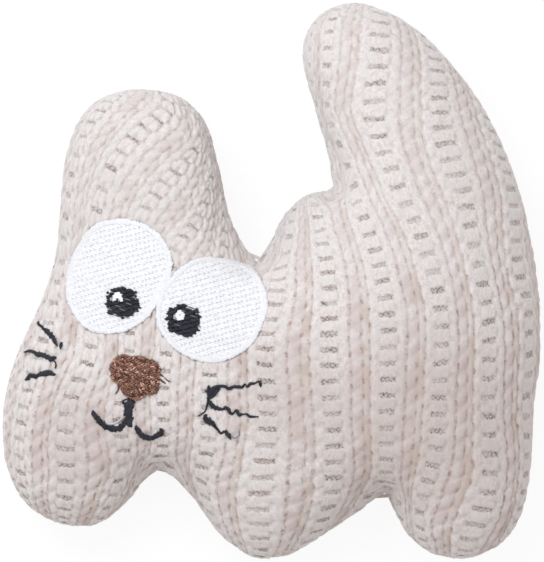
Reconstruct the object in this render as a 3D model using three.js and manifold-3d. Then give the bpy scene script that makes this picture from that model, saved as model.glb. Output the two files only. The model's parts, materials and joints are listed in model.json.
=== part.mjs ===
// A cat-shaped catnip toy: two knitted panels sewn together round their outline, turned, filled
// with wads of fibre and a pouch of catnip, and closed by hand. The face is embroidered.
// Millimetres. The toy lies on its back: +Z points up out of the face, +Y to the ear and the tail
// tip, +X to the tail's side. The origin is on the rest face, under the middle of the outline's box.
import * as THREE from "three";
import { mergeVertices } from "three/addons/utils/BufferGeometryUtils.js";
import Module from "manifold-3d";

const wasm = await Module();
wasm.setup();

// Overall sizes: the outline's box, the radius with which each stuffed side rounds at the seam, how
// deep the back can reach, and how much of it is pressed flat
const overallWidth = 97.2;
const overallHeight = 100.4;
const frontEdgeRadius = 13.5;
const backEdgeRadius = 14.5;
const backDepthLimit = 23;
const restCut = 0.5;

// The knitted cover and its seam
const fabricThickness = 1.8;
const seamAllowance = 4;
const seamThreadThickness = 0.5;
const seamThreadWidth = 0.7;
const seamInset = 1.3;
const closingStitchInset = 0.5;
const closingStitchReach = 1.7;
const closingStitchPitch = 3;

// Clearances: between pieces, and between pieces that lie along the faceted inside of the cover
const gap = 0.3;
const insideGap = 0.6;

// Embroidery: how far the stitches stand up, how far their lines start below the cover before they
// are trimmed to it, and the sizes of the shapes
const stitchHeight = 0.7;
const stitchSink = 0.6;
const borderHeight = 0.95;
const borderWidth = 0.85;
const leftEyeWidth = 19.3;
const leftEyeHeight = 20.6;
const rightEyeWidth = 20.3;
const rightEyeHeight = 18.7;
const pupilWidth = 6.3;
const pupilHeight = 6.2;
const highlightWidth = 2.1;
const highlightHeight = 1.8;
const noseWidth = 9;
const noseHeight = 8.4;
const stemWidth = 1.6;
const mouthWidth = 1;
const whiskerWidth = 0.75;
const backingThickness = 0.4;

// The catnip pouch
const pouchLength = 24;
const pouchWidth = 18;
const pouchBulge = 3.6;
const pouchSheet = 0.35;
const pouchRim = 1.5;

// Facet sizes, and the overrun of every cut
const coverFacet = 5.5;
const outlineStep = 2;
const overrun = 3;

// Counts: steps round a stitched shape and round a pouch, outline points to one point of the seam
// thread, small moves that pull a point onto the form, and climbs that draw the outline in
const stepsRoundShape = 23;
const stepsRoundPouch = 16;
const pointsPerThreadStep = 2;
const pulls = 10;
const climbs = 24;

// The outline, from the tail's root round the tail, the feet, the head and the ear, and back over
// the hump. Each stretch is one smooth curve, and the stretches meet in the snipped corners of the
// seam. The shares are of the overall width and height, counted from the middle.
const outlineShares = [
  [
    [0.114, 0.160], [0.106, 0.216], [0.080, 0.305], [0.057, 0.395], [0.065, 0.446], [0.096, 0.482],
    [0.155, 0.499], [0.246, 0.467], [0.330, 0.394], [0.406, 0.288], [0.455, 0.178], [0.482, 0.074],
    [0.497, -0.036], [0.498, -0.142], [0.488, -0.215], [0.485, -0.286], [0.479, -0.358],
    [0.459, -0.428], [0.425, -0.472], [0.366, -0.499], [0.307, -0.493], [0.256, -0.461],
    [0.235, -0.428], [0.212, -0.381],
  ],
  [
    [0.212, -0.381], [0.188, -0.396], [0.138, -0.430], [0.082, -0.466], [0.030, -0.493],
    [-0.030, -0.498], [-0.086, -0.465], [-0.145, -0.393], [-0.177, -0.357], [-0.206, -0.338],
  ],
  [
    [-0.206, -0.338], [-0.230, -0.355], [-0.263, -0.393], [-0.306, -0.430], [-0.352, -0.442],
    [-0.413, -0.430], [-0.462, -0.393], [-0.489, -0.340], [-0.499, -0.270], [-0.488, -0.178],
    [-0.461, -0.106], [-0.427, -0.035], [-0.403, 0.037], [-0.395, 0.100], [-0.390, 0.170],
    [-0.380, 0.233], [-0.356, 0.291], [-0.313, 0.329], [-0.238, 0.345], [-0.162, 0.327],
    [-0.121, 0.282], [-0.098, 0.210], [-0.080, 0.130], [-0.056, 0.073], [-0.027, 0.034],
  ],
  [[-0.027, 0.034], [-0.002, 0.07], [0.019, 0.111], [0.052, 0.147], [0.085, 0.160], [0.114, 0.160]],
];

// Where the gap for turning and filling begins and ends, as shares of the way round the outline
const closingGapShares = [0.295, 0.355];

// Wads of filling: the place and half size of the round mass that each is pressed into, in the
// order in which they take their room
const wadShares = {
  body: { at: [0.22, -0.11], reach: [0.36, 0.25] },
  head: { at: [-0.28, -0.11], reach: [0.35, 0.235] },
  tail: { at: [0.27, 0.36], reach: [0.28, 0.28] },
  ear: { at: [-0.23, 0.27], reach: [0.22, 0.22] },
  middle_foot: { at: [-0.003, -0.4], reach: [0.22, 0.15] },
  hind_foot: { at: [0.36, -0.41], reach: [0.2, 0.15] },
  front_paw: { at: [-0.35, -0.38], reach: [0.2, 0.14] },
};

// The face: places as shares of the overall sizes, outlines as shares of each shape's own sizes
const leftEyeShares = {
  at: [-0.281, 0.007],
  outline: [
    [0.497, 0.1], [0.425, 0.31], [0.23, 0.46], [-0.02, 0.5], [-0.24, 0.44], [-0.4, 0.25],
    [-0.49, 0.02], [-0.48, -0.23], [-0.33, -0.44], [-0.1, -0.5], [0.14, -0.44], [0.34, -0.26],
  ],
};
const rightEyeShares = {
  at: [-0.11, -0.053],
  outline: [
    [0.497, 0.09], [0.38, 0.39], [0.13, 0.49], [-0.13, 0.5], [-0.33, 0.35], [-0.46, 0.15],
    [-0.49, -0.09], [-0.38, -0.32], [-0.17, -0.47], [0.06, -0.5], [0.31, -0.37], [0.45, -0.14],
  ],
};
const leftPupilShares = { at: [-0.275, -0.04] };
const rightPupilShares = { at: [-0.161, -0.0715] };
const leftHighlightShares = { at: [-0.2855, -0.029] };
const rightHighlightShares = { at: [-0.17, -0.062] };
const noseShares = {
  at: [-0.251, -0.17],
  outline: [
    [0.5, 0.02], [0.36, 0.34], [0.06, 0.48], [-0.22, 0.5], [-0.46, 0.22], [-0.5, -0.08],
    [-0.28, -0.36], [-0.04, -0.5], [0.22, -0.48], [0.46, -0.28],
  ],
};
const backingShares = { at: [-0.2, -0.1], reach: [0.19, 0.2] };
const mouthStemShares = [[-0.2615, -0.205], [-0.2605, -0.232], [-0.2595, -0.259]];
const mouthLeftShares = [
  [-0.331, -0.237], [-0.319, -0.252], [-0.303, -0.263], [-0.285, -0.265], [-0.27, -0.255],
  [-0.264, -0.246],
];
const mouthRightShares = [
  [-0.256, -0.25], [-0.249, -0.263], [-0.24, -0.276], [-0.225, -0.282], [-0.211, -0.279],
  [-0.201, -0.273],
];
const whiskerShares = {
  left_whisker_upper: [[-0.432, -0.077], [-0.411, -0.095], [-0.396, -0.111], [-0.389, -0.117]],
  left_whisker_middle: [[-0.456, -0.126], [-0.427, -0.132], [-0.406, -0.141]],
  left_whisker_lower: [[-0.452, -0.176], [-0.426, -0.168], [-0.401, -0.165]],
  right_whisker_upper: [[-0.118, -0.193], [-0.078, -0.191], [-0.04, -0.185], [-0.018, -0.186]],
  right_whisker_middle: [[-0.118, -0.22], [-0.075, -0.235], [-0.028, -0.243]],
  right_whisker_lower: [[-0.126, -0.246], [-0.094, -0.27], [-0.076, -0.28]],
};

// The pouch: its place, how much of the leaf's height is gone at its edge, and how much of the
// bulge's height the filling keeps clear of the rim
const pouchShares = { at: [-0.1, -0.115] };
const leafFallShare = 0.97;
const rimRoomShare = 0.15;

// A plan point from shares of the overall sizes.
const plan = ([x, y]) => [x * overallWidth, y * overallHeight];

// A curve through plan points, as evenly spaced points. An open curve keeps both its ends.
function spline(points, step, closed = false) {
  const knots = points.map(([x, y]) => new THREE.Vector3(x, y, 0));
  const curve = new THREE.CatmullRomCurve3(knots, closed, "centripetal");
  const count = Math.max(2, Math.round(curve.getLength() / step));
  const spaced = curve.getSpacedPoints(count).map((p) => [p.x, p.y]);
  return closed ? spaced.slice(0, count) : spaced;
}

const outline = outlineShares.flatMap((stretch) =>
  spline(stretch.map(plan), outlineStep).slice(0, -1),
).reverse();

// How deep inside the outline a plan point is: near an edge it is half the distance to it, it is
// zero on the outline and negative outside. It is one over the mean-value weight of the polygon,
// the sum over its edges of tan(half the angle that the edge fills) * (1 / near + 1 / far end).
function depthInside(x, y) {
  let weight = 0;
  let [ax, ay] = outline[outline.length - 1];
  ax -= x;
  ay -= y;
  let aLength = Math.hypot(ax, ay);
  for (const [px, py] of outline) {
    const bx = px - x;
    const by = py - y;
    const bLength = Math.hypot(bx, by);
    const tangent = (ax * by - ay * bx) / (aLength * bLength + ax * bx + ay * by);
    weight += tangent * (1 / aLength + 1 / bLength);
    [ax, ay, aLength] = [bx, by, bLength];
  }
  return 1 / weight;
}

const nudge = overallWidth / 5000;

// The slope of the depth in X and Y.
function depthSlope(x, y) {
  const alongX = depthInside(x + nudge, y) - depthInside(x - nudge, y);
  const alongY = depthInside(x, y + nudge) - depthInside(x, y - nudge);
  return [alongX / nudge / 2, alongY / nudge / 2];
}

// The square of the half thickness at a depth, and its growth with depth. Near an edge the depth is
// half the distance to it, so four times the radius gives an edge of that radius. The back is
// flatter: it never passes its limit.
const growthAtEdge = (radius) => 4 * radius;
const frontSquare = (depth) => [growthAtEdge(frontEdgeRadius) * depth, growthAtEdge(frontEdgeRadius)];
function backSquare(depth) {
  const full = growthAtEdge(backEdgeRadius) * depth;
  const slack = 1 + Math.max(full, 0) / backDepthLimit ** 2;
  return [full / slack, growthAtEdge(backEdgeRadius) / slack ** 2];
}

// Where a point lies in the stuffed form: how far inside its surface, and the way out from there.
// The form is where the squared half thickness is more than the squared height off the seam plane.
function insideForm(x, y, z) {
  const depth = depthInside(x, y);
  const [slopeX, slopeY] = depthSlope(x, y);
  const [square, growth] = z < 0 ? backSquare(depth) : frontSquare(depth);
  const slope = [growth * slopeX, growth * slopeY, -2 * z];
  const steepness = Math.hypot(...slope);
  const distance = Math.min((square - z * z) / steepness, overallWidth);
  return { distance, outward: slope.map((v) => -v / steepness) };
}

// A cube's corners as bits, its edges as a corner and the axis that they run along, and the edges of
// each face.
const bits = [0, 1, 2, 3, 4, 5, 6, 7].map((corner) => [corner & 1, (corner >> 1) & 1, corner >> 2]);
const cubeEdges = bits.flatMap((bit, corner) =>
  [0, 1, 2].filter((axis) => !bit[axis]).map((axis) => ({ from: corner, to: corner + 2 ** axis, axis })),
);
const cubeFaces = [0, 1, 2].flatMap((axis) =>
  [0, 1].map((side) => cubeEdges.filter((e) => bits[e.from][axis] === side && bits[e.to][axis] === side)),
);

// Sorts the cube edges that a surface crosses into one group for each sheet of it. On a face that
// two sheets cross, each sheet goes round one inner corner.
function sheetsOf(isIn) {
  const groupOf = new Map();
  for (const edge of cubeEdges) if (isIn(edge.from) !== isIn(edge.to)) groupOf.set(edge, [edge]);
  const join = (one, other) => {
    if (groupOf.get(one) === groupOf.get(other)) return;
    const both = [...groupOf.get(one), ...groupOf.get(other)];
    for (const edge of both) groupOf.set(edge, both);
  };
  for (const face of cubeFaces) {
    const crossed = face.filter((edge) => groupOf.has(edge));
    for (const one of crossed)
      for (const other of crossed) {
        const shared = [one.from, one.to].find((corner) => [other.from, other.to].includes(corner));
        if (crossed.length === 2 || (shared !== undefined && isIn(shared))) join(one, other);
      }
  }
  return new Set(groupOf.values());
}

// The form's surface, drawn in by a distance, as one closed solid: a point in each grid cell for
// each sheet that crosses it, pulled onto the surface, and a quad round each crossed grid edge.
// Where it has to lie along another such solid, it takes its cells from that one's distance, so
// that the facets of the two are parallel.
function formSolid(drawnIn, cellsFrom = drawnIn) {
  const longestPull = coverFacet / 6;
  const reach = [overallWidth / 2, overallHeight / 2, backDepthLimit].map((r) => r + 2 * coverFacet);
  const counts = reach.map((r) => 2 * Math.ceil(r / coverFacet) + 1);
  const at = (n, axis) => (n - (counts[axis] - 1) / 2 + (axis === 2 ? 0.5 : 0)) * coverFacet;
  const key = (i, j, k) => (i * counts[1] + j) * counts[2] + k;
  const values = new Float64Array(counts[0] * counts[1] * counts[2]);
  const nodes = [];
  for (let i = 0; i < counts[0]; i++)
    for (let j = 0; j < counts[1]; j++) for (let k = 0; k < counts[2]; k++) nodes.push([i, j, k]);
  for (const [i, j, k] of nodes)
    values[key(i, j, k)] = insideForm(at(i, 0), at(j, 1), at(k, 2)).distance - cellsFrom;

  const points = [];
  const pointOnEdge = new Map();
  function placePoints(cell) {
    const valueAt = (corner) => values[key(...cell.map((n, axis) => n + bits[corner][axis]))];
    for (const sheet of sheetsOf((corner) => valueAt(corner) > 0)) {
      const mean = [0, 0, 0];
      for (const { from, to, axis } of sheet) {
        const way = valueAt(from) / (valueAt(from) - valueAt(to));
        bits[from].forEach((bit, n) => (mean[n] += (n === axis ? way : bit) / sheet.length));
      }
      let point = mean.map((v, n) => at(cell[n] + v, n));
      for (let pull = 0; pull < pulls; pull++) {
        const { distance, outward } = insideForm(...point);
        const step = THREE.MathUtils.clamp(distance - drawnIn, -longestPull, longestPull);
        point = point.map((v, n) => v + outward[n] * step);
      }
      for (const { from, axis } of sheet) pointOnEdge.set(`${cell} ${from} ${axis}`, points.length);
      points.push(point);
    }
  }

  const inner = nodes.filter((node) => node.every((n, axis) => n > 0 && n < counts[axis] - 1));
  for (const cell of nodes.filter((node) => node.every((n, axis) => n < counts[axis] - 1)))
    placePoints(cell);
  const triangles = [];
  for (const node of inner)
    for (let axis = 0; axis < 3; axis++) {
      const isIn = values[key(...node)] > 0;
      const ahead = node.map((n, m) => n + (m === axis ? 1 : 0));
      if (isIn === values[key(...ahead)] > 0) continue;
      const ring = [[1, 1], [0, 1], [0, 0], [1, 0]].map(([backU, backV]) => {
        const corner = backU * 2 ** ((axis + 1) % 3) + backV * 2 ** ((axis + 2) % 3);
        const cell = node.map((n, m) => n - bits[corner][m]);
        return pointOnEdge.get(`${cell} ${corner} ${axis}`);
      });
      if (!isIn) ring.reverse();
      triangles.push(ring[0], ring[1], ring[2], ring[0], ring[2], ring[3]);
    }
  return solidFrom(points, triangles);
}

// A solid from points and triangles.
function solidFrom(points, triangles) {
  return new wasm.Manifold(
    new wasm.Mesh({
      numProp: 3,
      vertProperties: new Float32Array(points.flat()),
      triVerts: new Uint32Array(triangles),
    }),
  );
}

// A solid from a three.js geometry.
function solidOf(geometry) {
  const bare = geometry.clone();
  bare.deleteAttribute("normal");
  bare.deleteAttribute("uv");
  const merged = mergeVertices(bare, nudge);
  const { array } = merged.attributes.position;
  return new wasm.Manifold(
    new wasm.Mesh({ numProp: 3, vertProperties: array, triVerts: merged.index.array }),
  );
}

// A flat layer across the whole toy, from one height to another above the seam plane.
function layer(low, high) {
  const across = 2 * (overallWidth + overallHeight);
  const block = new THREE.BoxGeometry(across, across, high - low);
  return solidOf(block.translate(0, 0, (low + high) / 2));
}

// The outline drawn in by a distance: each of its points climbs the depth's slope to that level.
function drawnInOutline(distance) {
  return outline.map(([px, py], n) => {
    const [qx, qy] = outline[(n + 1) % outline.length];
    let x = (px + qx) / 2 - ((qy - py) * nudge) / outlineStep;
    let y = (py + qy) / 2 + ((qx - px) * nudge) / outlineStep;
    for (let climb = 1; climb <= climbs; climb++) {
      const rise = (distance / 2) * (climb / climbs) - depthInside(x, y);
      const [sx, sy] = depthSlope(x, y);
      x += (sx * rise) / (sx * sx + sy * sy);
      y += (sy * rise) / (sx * sx + sy * sy);
    }
    return [x, y];
  });
}

// Puts a plan point on the front of the toy, lifted off its surface by a height.
function onFront(x, y, height) {
  const [square] = frontSquare(Math.max(depthInside(x, y), nudge));
  const point = [x, y, Math.sqrt(square)];
  const { outward } = insideForm(...point);
  return point.map((v, n) => v + outward[n] * height);
}

// Puts a plan point at a height above the seam plane.
const onSeamPlane = (x, y, height) => [x, y, height];

// A closed pad over the area inside a plan curve, in rings round its middle. Its lower and upper
// heights are functions of the share of the way out from the middle.
function pad(curve, rings, lower, upper, place) {
  const mean = [0, 1].map((n) => curve.reduce((sum, p) => sum + p[n], 0) / curve.length);
  const count = curve.length;
  const points = [];
  for (const height of [lower, upper]) {
    points.push(place(mean[0], mean[1], height(0)));
    for (let ring = 1; ring <= rings; ring++)
      for (const [x, y] of curve) {
        const out = ring / rings;
        const [dx, dy] = [(x - mean[0]) * out, (y - mean[1]) * out];
        points.push(place(mean[0] + dx, mean[1] + dy, height(out)));
      }
  }
  const side = 1 + rings * count;
  const index = (face, ring, n) => face * side + (ring ? 1 + (ring - 1) * count + (n % count) : 0);
  const triangles = [];
  for (let n = 0; n < count; n++) {
    for (const face of [0, 1]) {
      const faceTriangles = [[index(face, 0, 0), index(face, 1, n), index(face, 1, n + 1)]];
      for (let ring = 1; ring < rings; ring++) {
        const quad = [
          index(face, ring, n), index(face, ring + 1, n),
          index(face, ring + 1, n + 1), index(face, ring, n + 1),
        ];
        faceTriangles.push([quad[0], quad[1], quad[2]], [quad[0], quad[2], quad[3]]);
      }
      for (const triangle of faceTriangles) triangles.push(...(face ? triangle : triangle.reverse()));
    }
    const wall = [index(0, rings, n), index(0, rings, n + 1), index(1, rings, n + 1), index(1, rings, n)];
    triangles.push(wall[0], wall[1], wall[2], wall[0], wall[2], wall[3]);
  }
  return solidFrom(points, triangles);
}

// A closed strip along plan points: at each one a section across the path, given as pairs of
// [sideways, height], goes from the right-hand edge over the top to the left and back below.
function strip(path, section, place, closed = false) {
  const count = path.length;
  const points = [];
  path.forEach(([x, y], n) => {
    const before = path[closed ? (n + count - 1) % count : Math.max(n - 1, 0)];
    const after = path[closed ? (n + 1) % count : Math.min(n + 1, count - 1)];
    const way = [after[0] - before[0], after[1] - before[1]];
    const length = Math.hypot(...way);
    for (const [sideways, height] of section) {
      const [dx, dy] = [(way[1] / length) * sideways, (-way[0] / length) * sideways];
      points.push(place(x + dx, y + dy, height));
    }
  });
  const sides = section.length;
  const triangles = [];
  for (let n = 0; n < (closed ? count : count - 1); n++)
    for (let s = 0; s < sides; s++) {
      const [a, b] = [n * sides + s, n * sides + ((s + 1) % sides)];
      const [c, d] = [((n + 1) % count) * sides + s, ((n + 1) % count) * sides + ((s + 1) % sides)];
      triangles.push(a, c, b, b, c, d);
    }
  for (let s = 1; s < sides - 1 && !closed; s++) {
    const last = (count - 1) * sides;
    triangles.push(0, s, s + 1, last, last + s + 1, last + s);
  }
  return solidFrom(points, triangles);
}

// The section of a row of satin stitches: flat below, rounded above.
function satinSection(width, low, high) {
  const shoulder = Math.max((low + high) / 2, high - stitchHeight / 2);
  return [
    [width / 2, low], [width / 2, shoulder], [width / 4, high],
    [-width / 4, high], [-width / 2, shoulder], [-width / 2, low],
  ];
}

// The section of a cutting strip, which stands through the cover.
const uprightSection = (width) => [
  [width / 2, -overrun], [width / 2, overrun], [-width / 2, overrun], [-width / 2, -overrun],
];

// An even ring of points round the middle, each a share of the ring's width and height.
const ringShares = (count) => Array.from({ length: count }, (_, n) => {
  const turn = (2 * Math.PI * n) / count;
  return [Math.cos(turn) / 2, Math.sin(turn) / 2];
});

// A closed plan curve from a shape's own shares, or an ellipse if it has none.
function shapeCurve({ at, outline: shares }, width, height, grow = 0) {
  const [cx, cy] = plan(at);
  const corners = shares ?? ringShares(Math.floor(stepsRoundShape / 2));
  const knots = corners.map(([x, y]) => [cx + x * (width + 2 * grow), cy + y * (height + 2 * grow)]);
  return spline(knots, ((width + height) * Math.PI) / 2 / stepsRoundShape, true);
}

// The form grown to the underside of the stitches, to the top of the patches and to the top of the
// borders.
const liftedForm = formSolid(-gap, 0);
const patchForm = formSolid(-(gap + stitchHeight), 0);
const borderForm = formSolid(-(gap + borderHeight), 0);

// What a stitched shape keeps clear for itself in the shapes round it.
const stitchRoom = (shares, width, height) =>
  pad(shapeCurve(shares, width, height, gap), 1, () => -overrun, () => overrun, onFront);

// A stitched patch on the front of the toy, as thick everywhere as its stitches are high.
function patch(shares, width, height) {
  const column = pad(shapeCurve(shares, width, height), 1, () => -overrun, () => overrun, onFront);
  return column.intersect(patchForm).subtract(liftedForm);
}

// Panels: the form less its inside, with the seam allowance turned in along the seam
const outerForm = formSolid(0);
const innerForm = formSolid(fabricThickness);
const allowanceForm = formSolid(seamAllowance, fabricThickness);
const slotHalf = seamThreadThickness / 2 + gap;
const allowanceTop = slotHalf + fabricThickness;
const farOut = overallWidth;
const everyNth = (points, nth) => points.filter((_, n) => n % nth === 0);

// The deepest point of the form, which the toy rests on behind and which sets its thickness.
function deepestPoint() {
  let best = [0, 0];
  const steps = 40;
  for (let i = -steps; i <= steps; i++)
    for (let j = -steps; j <= steps; j++) {
      const point = [(i * overallWidth) / steps / 2, (j * overallHeight) / steps / 2];
      if (depthInside(...point) > depthInside(...best)) best = point;
    }
  return best;
}

const deepest = depthInside(...deepestPoint());
const seamHeight = Math.sqrt(backSquare(deepest)[0]) - restCut;

function panel(side) {
  const between = (a, b) => layer(Math.min(side * a, side * b), Math.max(side * a, side * b));
  const shell = outerForm.intersect(between(slotHalf, side > 0 ? farOut : seamHeight));
  const hollow = innerForm.intersect(between(allowanceTop, farOut));
  const mouth = allowanceForm.intersect(between(slotHalf - gap, allowanceTop + gap));
  return shell.subtract(hollow).subtract(mouth);
}

// The seam: a line of stitching in the slot between the panels, left open at the turning gap,
// which a zigzag of ladder stitches closes
const seamLow = -seamThreadThickness / 2;
const seamHigh = seamThreadThickness / 2;
const threadSection = (width) => [
  [width / 2, seamLow], [width / 2, seamHigh], [-width / 2, seamHigh], [-width / 2, seamLow],
];
const gapEnds = closingGapShares.map((share) => Math.round((1 - share) * outline.length));

function seamThread() {
  const line = drawnInOutline(seamInset);
  const run = [...line.slice(gapEnds[0]), ...line.slice(0, gapEnds[1])];
  return strip(everyNth(run, pointsPerThreadStep), threadSection(seamThreadWidth), onSeamPlane);
}

function closingThread() {
  const outer = drawnInOutline(closingStitchInset);
  const inner = drawnInOutline(closingStitchInset + closingStitchReach);
  const every = Math.max(1, Math.round(closingStitchPitch / outlineStep / 2));
  const path = [];
  for (let n = gapEnds[1] + every; n < gapEnds[0] - every; n += every)
    path.push((path.length % 2 ? inner : outer)[n]);
  return strip(path, threadSection(seamThreadThickness), onSeamPlane);
}

// The face
const leftEye = [leftEyeShares, leftEyeWidth, leftEyeHeight];
const rightEye = [rightEyeShares, rightEyeWidth, rightEyeHeight];
const leftPupil = [leftPupilShares, pupilWidth, pupilHeight];
const rightPupil = [rightPupilShares, pupilWidth, pupilHeight];
const leftHighlight = [leftHighlightShares, highlightWidth, highlightHeight];
const rightHighlight = [rightHighlightShares, highlightWidth, highlightHeight];
const nose = [noseShares, noseWidth, noseHeight];

// The white of an eye lies inside its border, round its pupil.
function eyeFill([shares, width, height], pupil) {
  const inset = 2 * (borderWidth + gap);
  return patch(shares, width - inset, height - inset).subtract(stitchRoom(...pupil));
}

function eyeBorder([shares, width, height], pupil) {
  const line = shapeCurve(shares, width, height, -borderWidth / 2);
  const ring = strip(line, uprightSection(borderWidth), onFront, true);
  return ring.intersect(borderForm).subtract(liftedForm).subtract(stitchRoom(...pupil));
}

// A stitched line on the front of the toy, and the room that it keeps clear for itself.
function stitchLine(shares, width) {
  const section = satinSection(width, -stitchSink, gap + stitchHeight);
  return strip(spline(shares.map(plan), width * 1.5), section, onFront).subtract(liftedForm);
}
const lineRoom = (shares, width) =>
  strip(spline(shares.map(plan), width), uprightSection(width + 2 * gap), onFront);

// The backing lies under the front panel, behind the face. It is trimmed by the cover's inside.
const backingTop = -(fabricThickness + gap);
function backing(grow, low, high) {
  const [reachX, reachY] = plan(backingShares.reach);
  const curve = shapeCurve(backingShares, 2 * reachX, 2 * reachY, grow);
  return pad(curve, 4, () => low, () => high, onFront);
}
const backingSheet = () =>
  backing(0, backingTop - backingThickness, 0).intersect(formSolid(-backingTop, fabricThickness));

// The pouch: two sheets sealed round the rim, domed each way over the leaf inside
function pouchCurve(grow) {
  const [cx, cy] = plan(pouchShares.at);
  const squared = (v) => Math.sign(v) * Math.sqrt(Math.abs(2 * v));
  return ringShares(stepsRoundPouch).map(([x, y]) => [
    cx + (pouchLength / 2 + grow) * squared(x),
    cy + (pouchWidth / 2 + grow) * squared(y),
  ]);
}
const rimShare = 1 - (2 * pouchRim) / pouchWidth;
const pouchDome = (out) => pouchBulge * Math.max(0, 1 - (out / rimShare) ** 2);

function pouchSheetSolid(side) {
  const inside = (out) => side * (gap / 2 + pouchDome(out));
  const outside = (out) => side * (gap / 2 + pouchDome(out) + pouchSheet);
  const heights = side > 0 ? [inside, outside] : [outside, inside];
  return pad(pouchCurve(0), 4, ...heights, onSeamPlane);
}

// The leaf fills the domes, and thins out to a blunt edge.
function catnipLeaf() {
  const half = (out) => (pouchBulge - gap) * (1 - out ** 2 * leafFallShare);
  const curve = pouchCurve(-pouchRim - 2 * gap);
  return pad(curve, 3, (out) => -half(out), half, onSeamPlane);
}

const pouchRoomHalf = (out) =>
  gap + pouchBulge * Math.max(rimRoomShare, 1 - out ** 2) + pouchSheet + gap;
const pouchRoom = () =>
  pad(pouchCurve(gap), 3, (out) => -pouchRoomHalf(out), pouchRoomHalf, onSeamPlane);

// The filling: the inside of the cover, clear of the turned-in seam, the backing and the pouch,
// shared out between the wads
function wads() {
  const waist = layer(-allowanceTop - insideGap, allowanceTop + insideGap);
  const clearWaist = waist.subtract(formSolid(seamAllowance + insideGap, fabricThickness));
  let room = formSolid(fabricThickness + insideGap, fabricThickness).subtract(clearWaist);
  room = room.subtract(backing(insideGap, backingTop - backingThickness - insideGap, 0));
  room = room.subtract(pouchRoom());
  const made = {};
  for (const [name, { at, reach }] of Object.entries(wadShares)) {
    const [cx, cy] = plan(at);
    const ball = (grow) => {
      const [rx, ry] = plan(reach);
      const round = new THREE.SphereGeometry(1, 16, 8).rotateX(Math.PI / 2);
      return solidOf(round.scale(rx + grow, ry + grow, rx + ry).translate(cx, cy, 0));
    };
    made[`${name}_filling`] = room.intersect(ball(0));
    room = room.subtract(ball(gap));
  }
  return made;
}

// Materials
const finish = (color, roughness) => new THREE.MeshStandardMaterial({ color, roughness, metalness: 0 });
const knit = finish(0xe4dcd6, 0.95);
const creamThread = finish(0xd9cdc2, 0.8);
const whiteThread = finish(0xf2f1f6, 0.55);
const blackThread = finish(0x2b2a30, 0.5);
const brownThread = finish(0x7a4c3c, 0.5);
const fibre = finish(0xf4f2ee, 1);
const felt = finish(0xe9e6e0, 0.95);
const leaf = finish(0x7d8250, 1);

const part = new THREE.Group();
part.position.set(0, 0, seamHeight);

// Adds a solid as a named mesh.
function add(name, solid, material) {
  const { vertProperties, triVerts } = solid.getMesh();
  const geometry = new THREE.BufferGeometry();
  geometry.setAttribute("position", new THREE.BufferAttribute(vertProperties, 3));
  geometry.setIndex(new THREE.BufferAttribute(triVerts, 1));
  geometry.computeVertexNormals();
  const mesh = new THREE.Mesh(geometry, material);
  mesh.name = name;
  part.add(mesh);
}

add("front_panel", panel(1), knit);
add("back_panel", panel(-1), knit);
add("seam_thread", seamThread(), creamThread);
add("closing_thread", closingThread(), creamThread);

const rightEyeRoom = stitchRoom(...rightEye);
add("left_eye_fill", eyeFill(leftEye, leftPupil).subtract(rightEyeRoom), whiteThread);
add("left_eye_border", eyeBorder(leftEye, leftPupil).subtract(rightEyeRoom), whiteThread);
add("right_eye_fill", eyeFill(rightEye, rightPupil), whiteThread);
add("right_eye_border", eyeBorder(rightEye, rightPupil), whiteThread);
add("left_pupil", patch(...leftPupil).subtract(stitchRoom(...leftHighlight)), blackThread);
add("right_pupil", patch(...rightPupil).subtract(stitchRoom(...rightHighlight)), blackThread);
add("left_highlight", patch(...leftHighlight), whiteThread);
add("right_highlight", patch(...rightHighlight), whiteThread);

add("nose", patch(...nose), brownThread);
const stemRoom = lineRoom(mouthStemShares, stemWidth);
add("mouth_stem", stitchLine(mouthStemShares, stemWidth).subtract(stitchRoom(...nose)), blackThread);
add("mouth_left", stitchLine(mouthLeftShares, mouthWidth).subtract(stemRoom), blackThread);
add("mouth_right", stitchLine(mouthRightShares, mouthWidth).subtract(stemRoom), blackThread);
for (const [name, shares] of Object.entries(whiskerShares))
  add(name, stitchLine(shares, whiskerWidth), blackThread);

add("embroidery_backing", backingSheet(), felt);
add("pouch_front", pouchSheetSolid(1), felt);
add("pouch_back", pouchSheetSolid(-1), felt);
add("catnip_leaf", catnipLeaf(), leaf);
for (const [name, solid] of Object.entries(wads())) add(name, solid, fibre);

export default part;
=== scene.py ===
# %% [markdown]
# # A stuffed cat toy in cream chenille knit
#
# The toy is two knitted panels sewn together round their outline, turned, stuffed and closed by
# hand, with a face embroidered on the front one. The CAD parts already hold its size and its
# pieces. This lesson dresses them: it builds the knit as a fine surface with real relief, lays
# every embroidery stitch as its own strand, and gives each finish a procedural material.
# The first cell loads the CAD parts.

# %% Load the CAD parts
import json

import bpy
import numpy as np
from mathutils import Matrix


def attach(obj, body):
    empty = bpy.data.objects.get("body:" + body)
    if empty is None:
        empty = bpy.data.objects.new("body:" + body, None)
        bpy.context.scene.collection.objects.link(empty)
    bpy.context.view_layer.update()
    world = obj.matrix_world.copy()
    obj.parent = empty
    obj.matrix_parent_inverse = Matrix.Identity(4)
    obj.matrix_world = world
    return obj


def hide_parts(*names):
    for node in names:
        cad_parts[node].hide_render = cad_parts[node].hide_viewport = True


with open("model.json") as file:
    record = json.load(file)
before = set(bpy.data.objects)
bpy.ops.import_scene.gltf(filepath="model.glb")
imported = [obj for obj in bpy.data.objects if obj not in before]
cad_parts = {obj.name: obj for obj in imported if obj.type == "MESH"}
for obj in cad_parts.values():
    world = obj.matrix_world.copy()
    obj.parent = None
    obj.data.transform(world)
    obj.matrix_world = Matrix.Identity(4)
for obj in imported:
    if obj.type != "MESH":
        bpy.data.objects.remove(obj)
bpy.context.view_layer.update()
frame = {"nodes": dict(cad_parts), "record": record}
mm = 0.001

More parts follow.
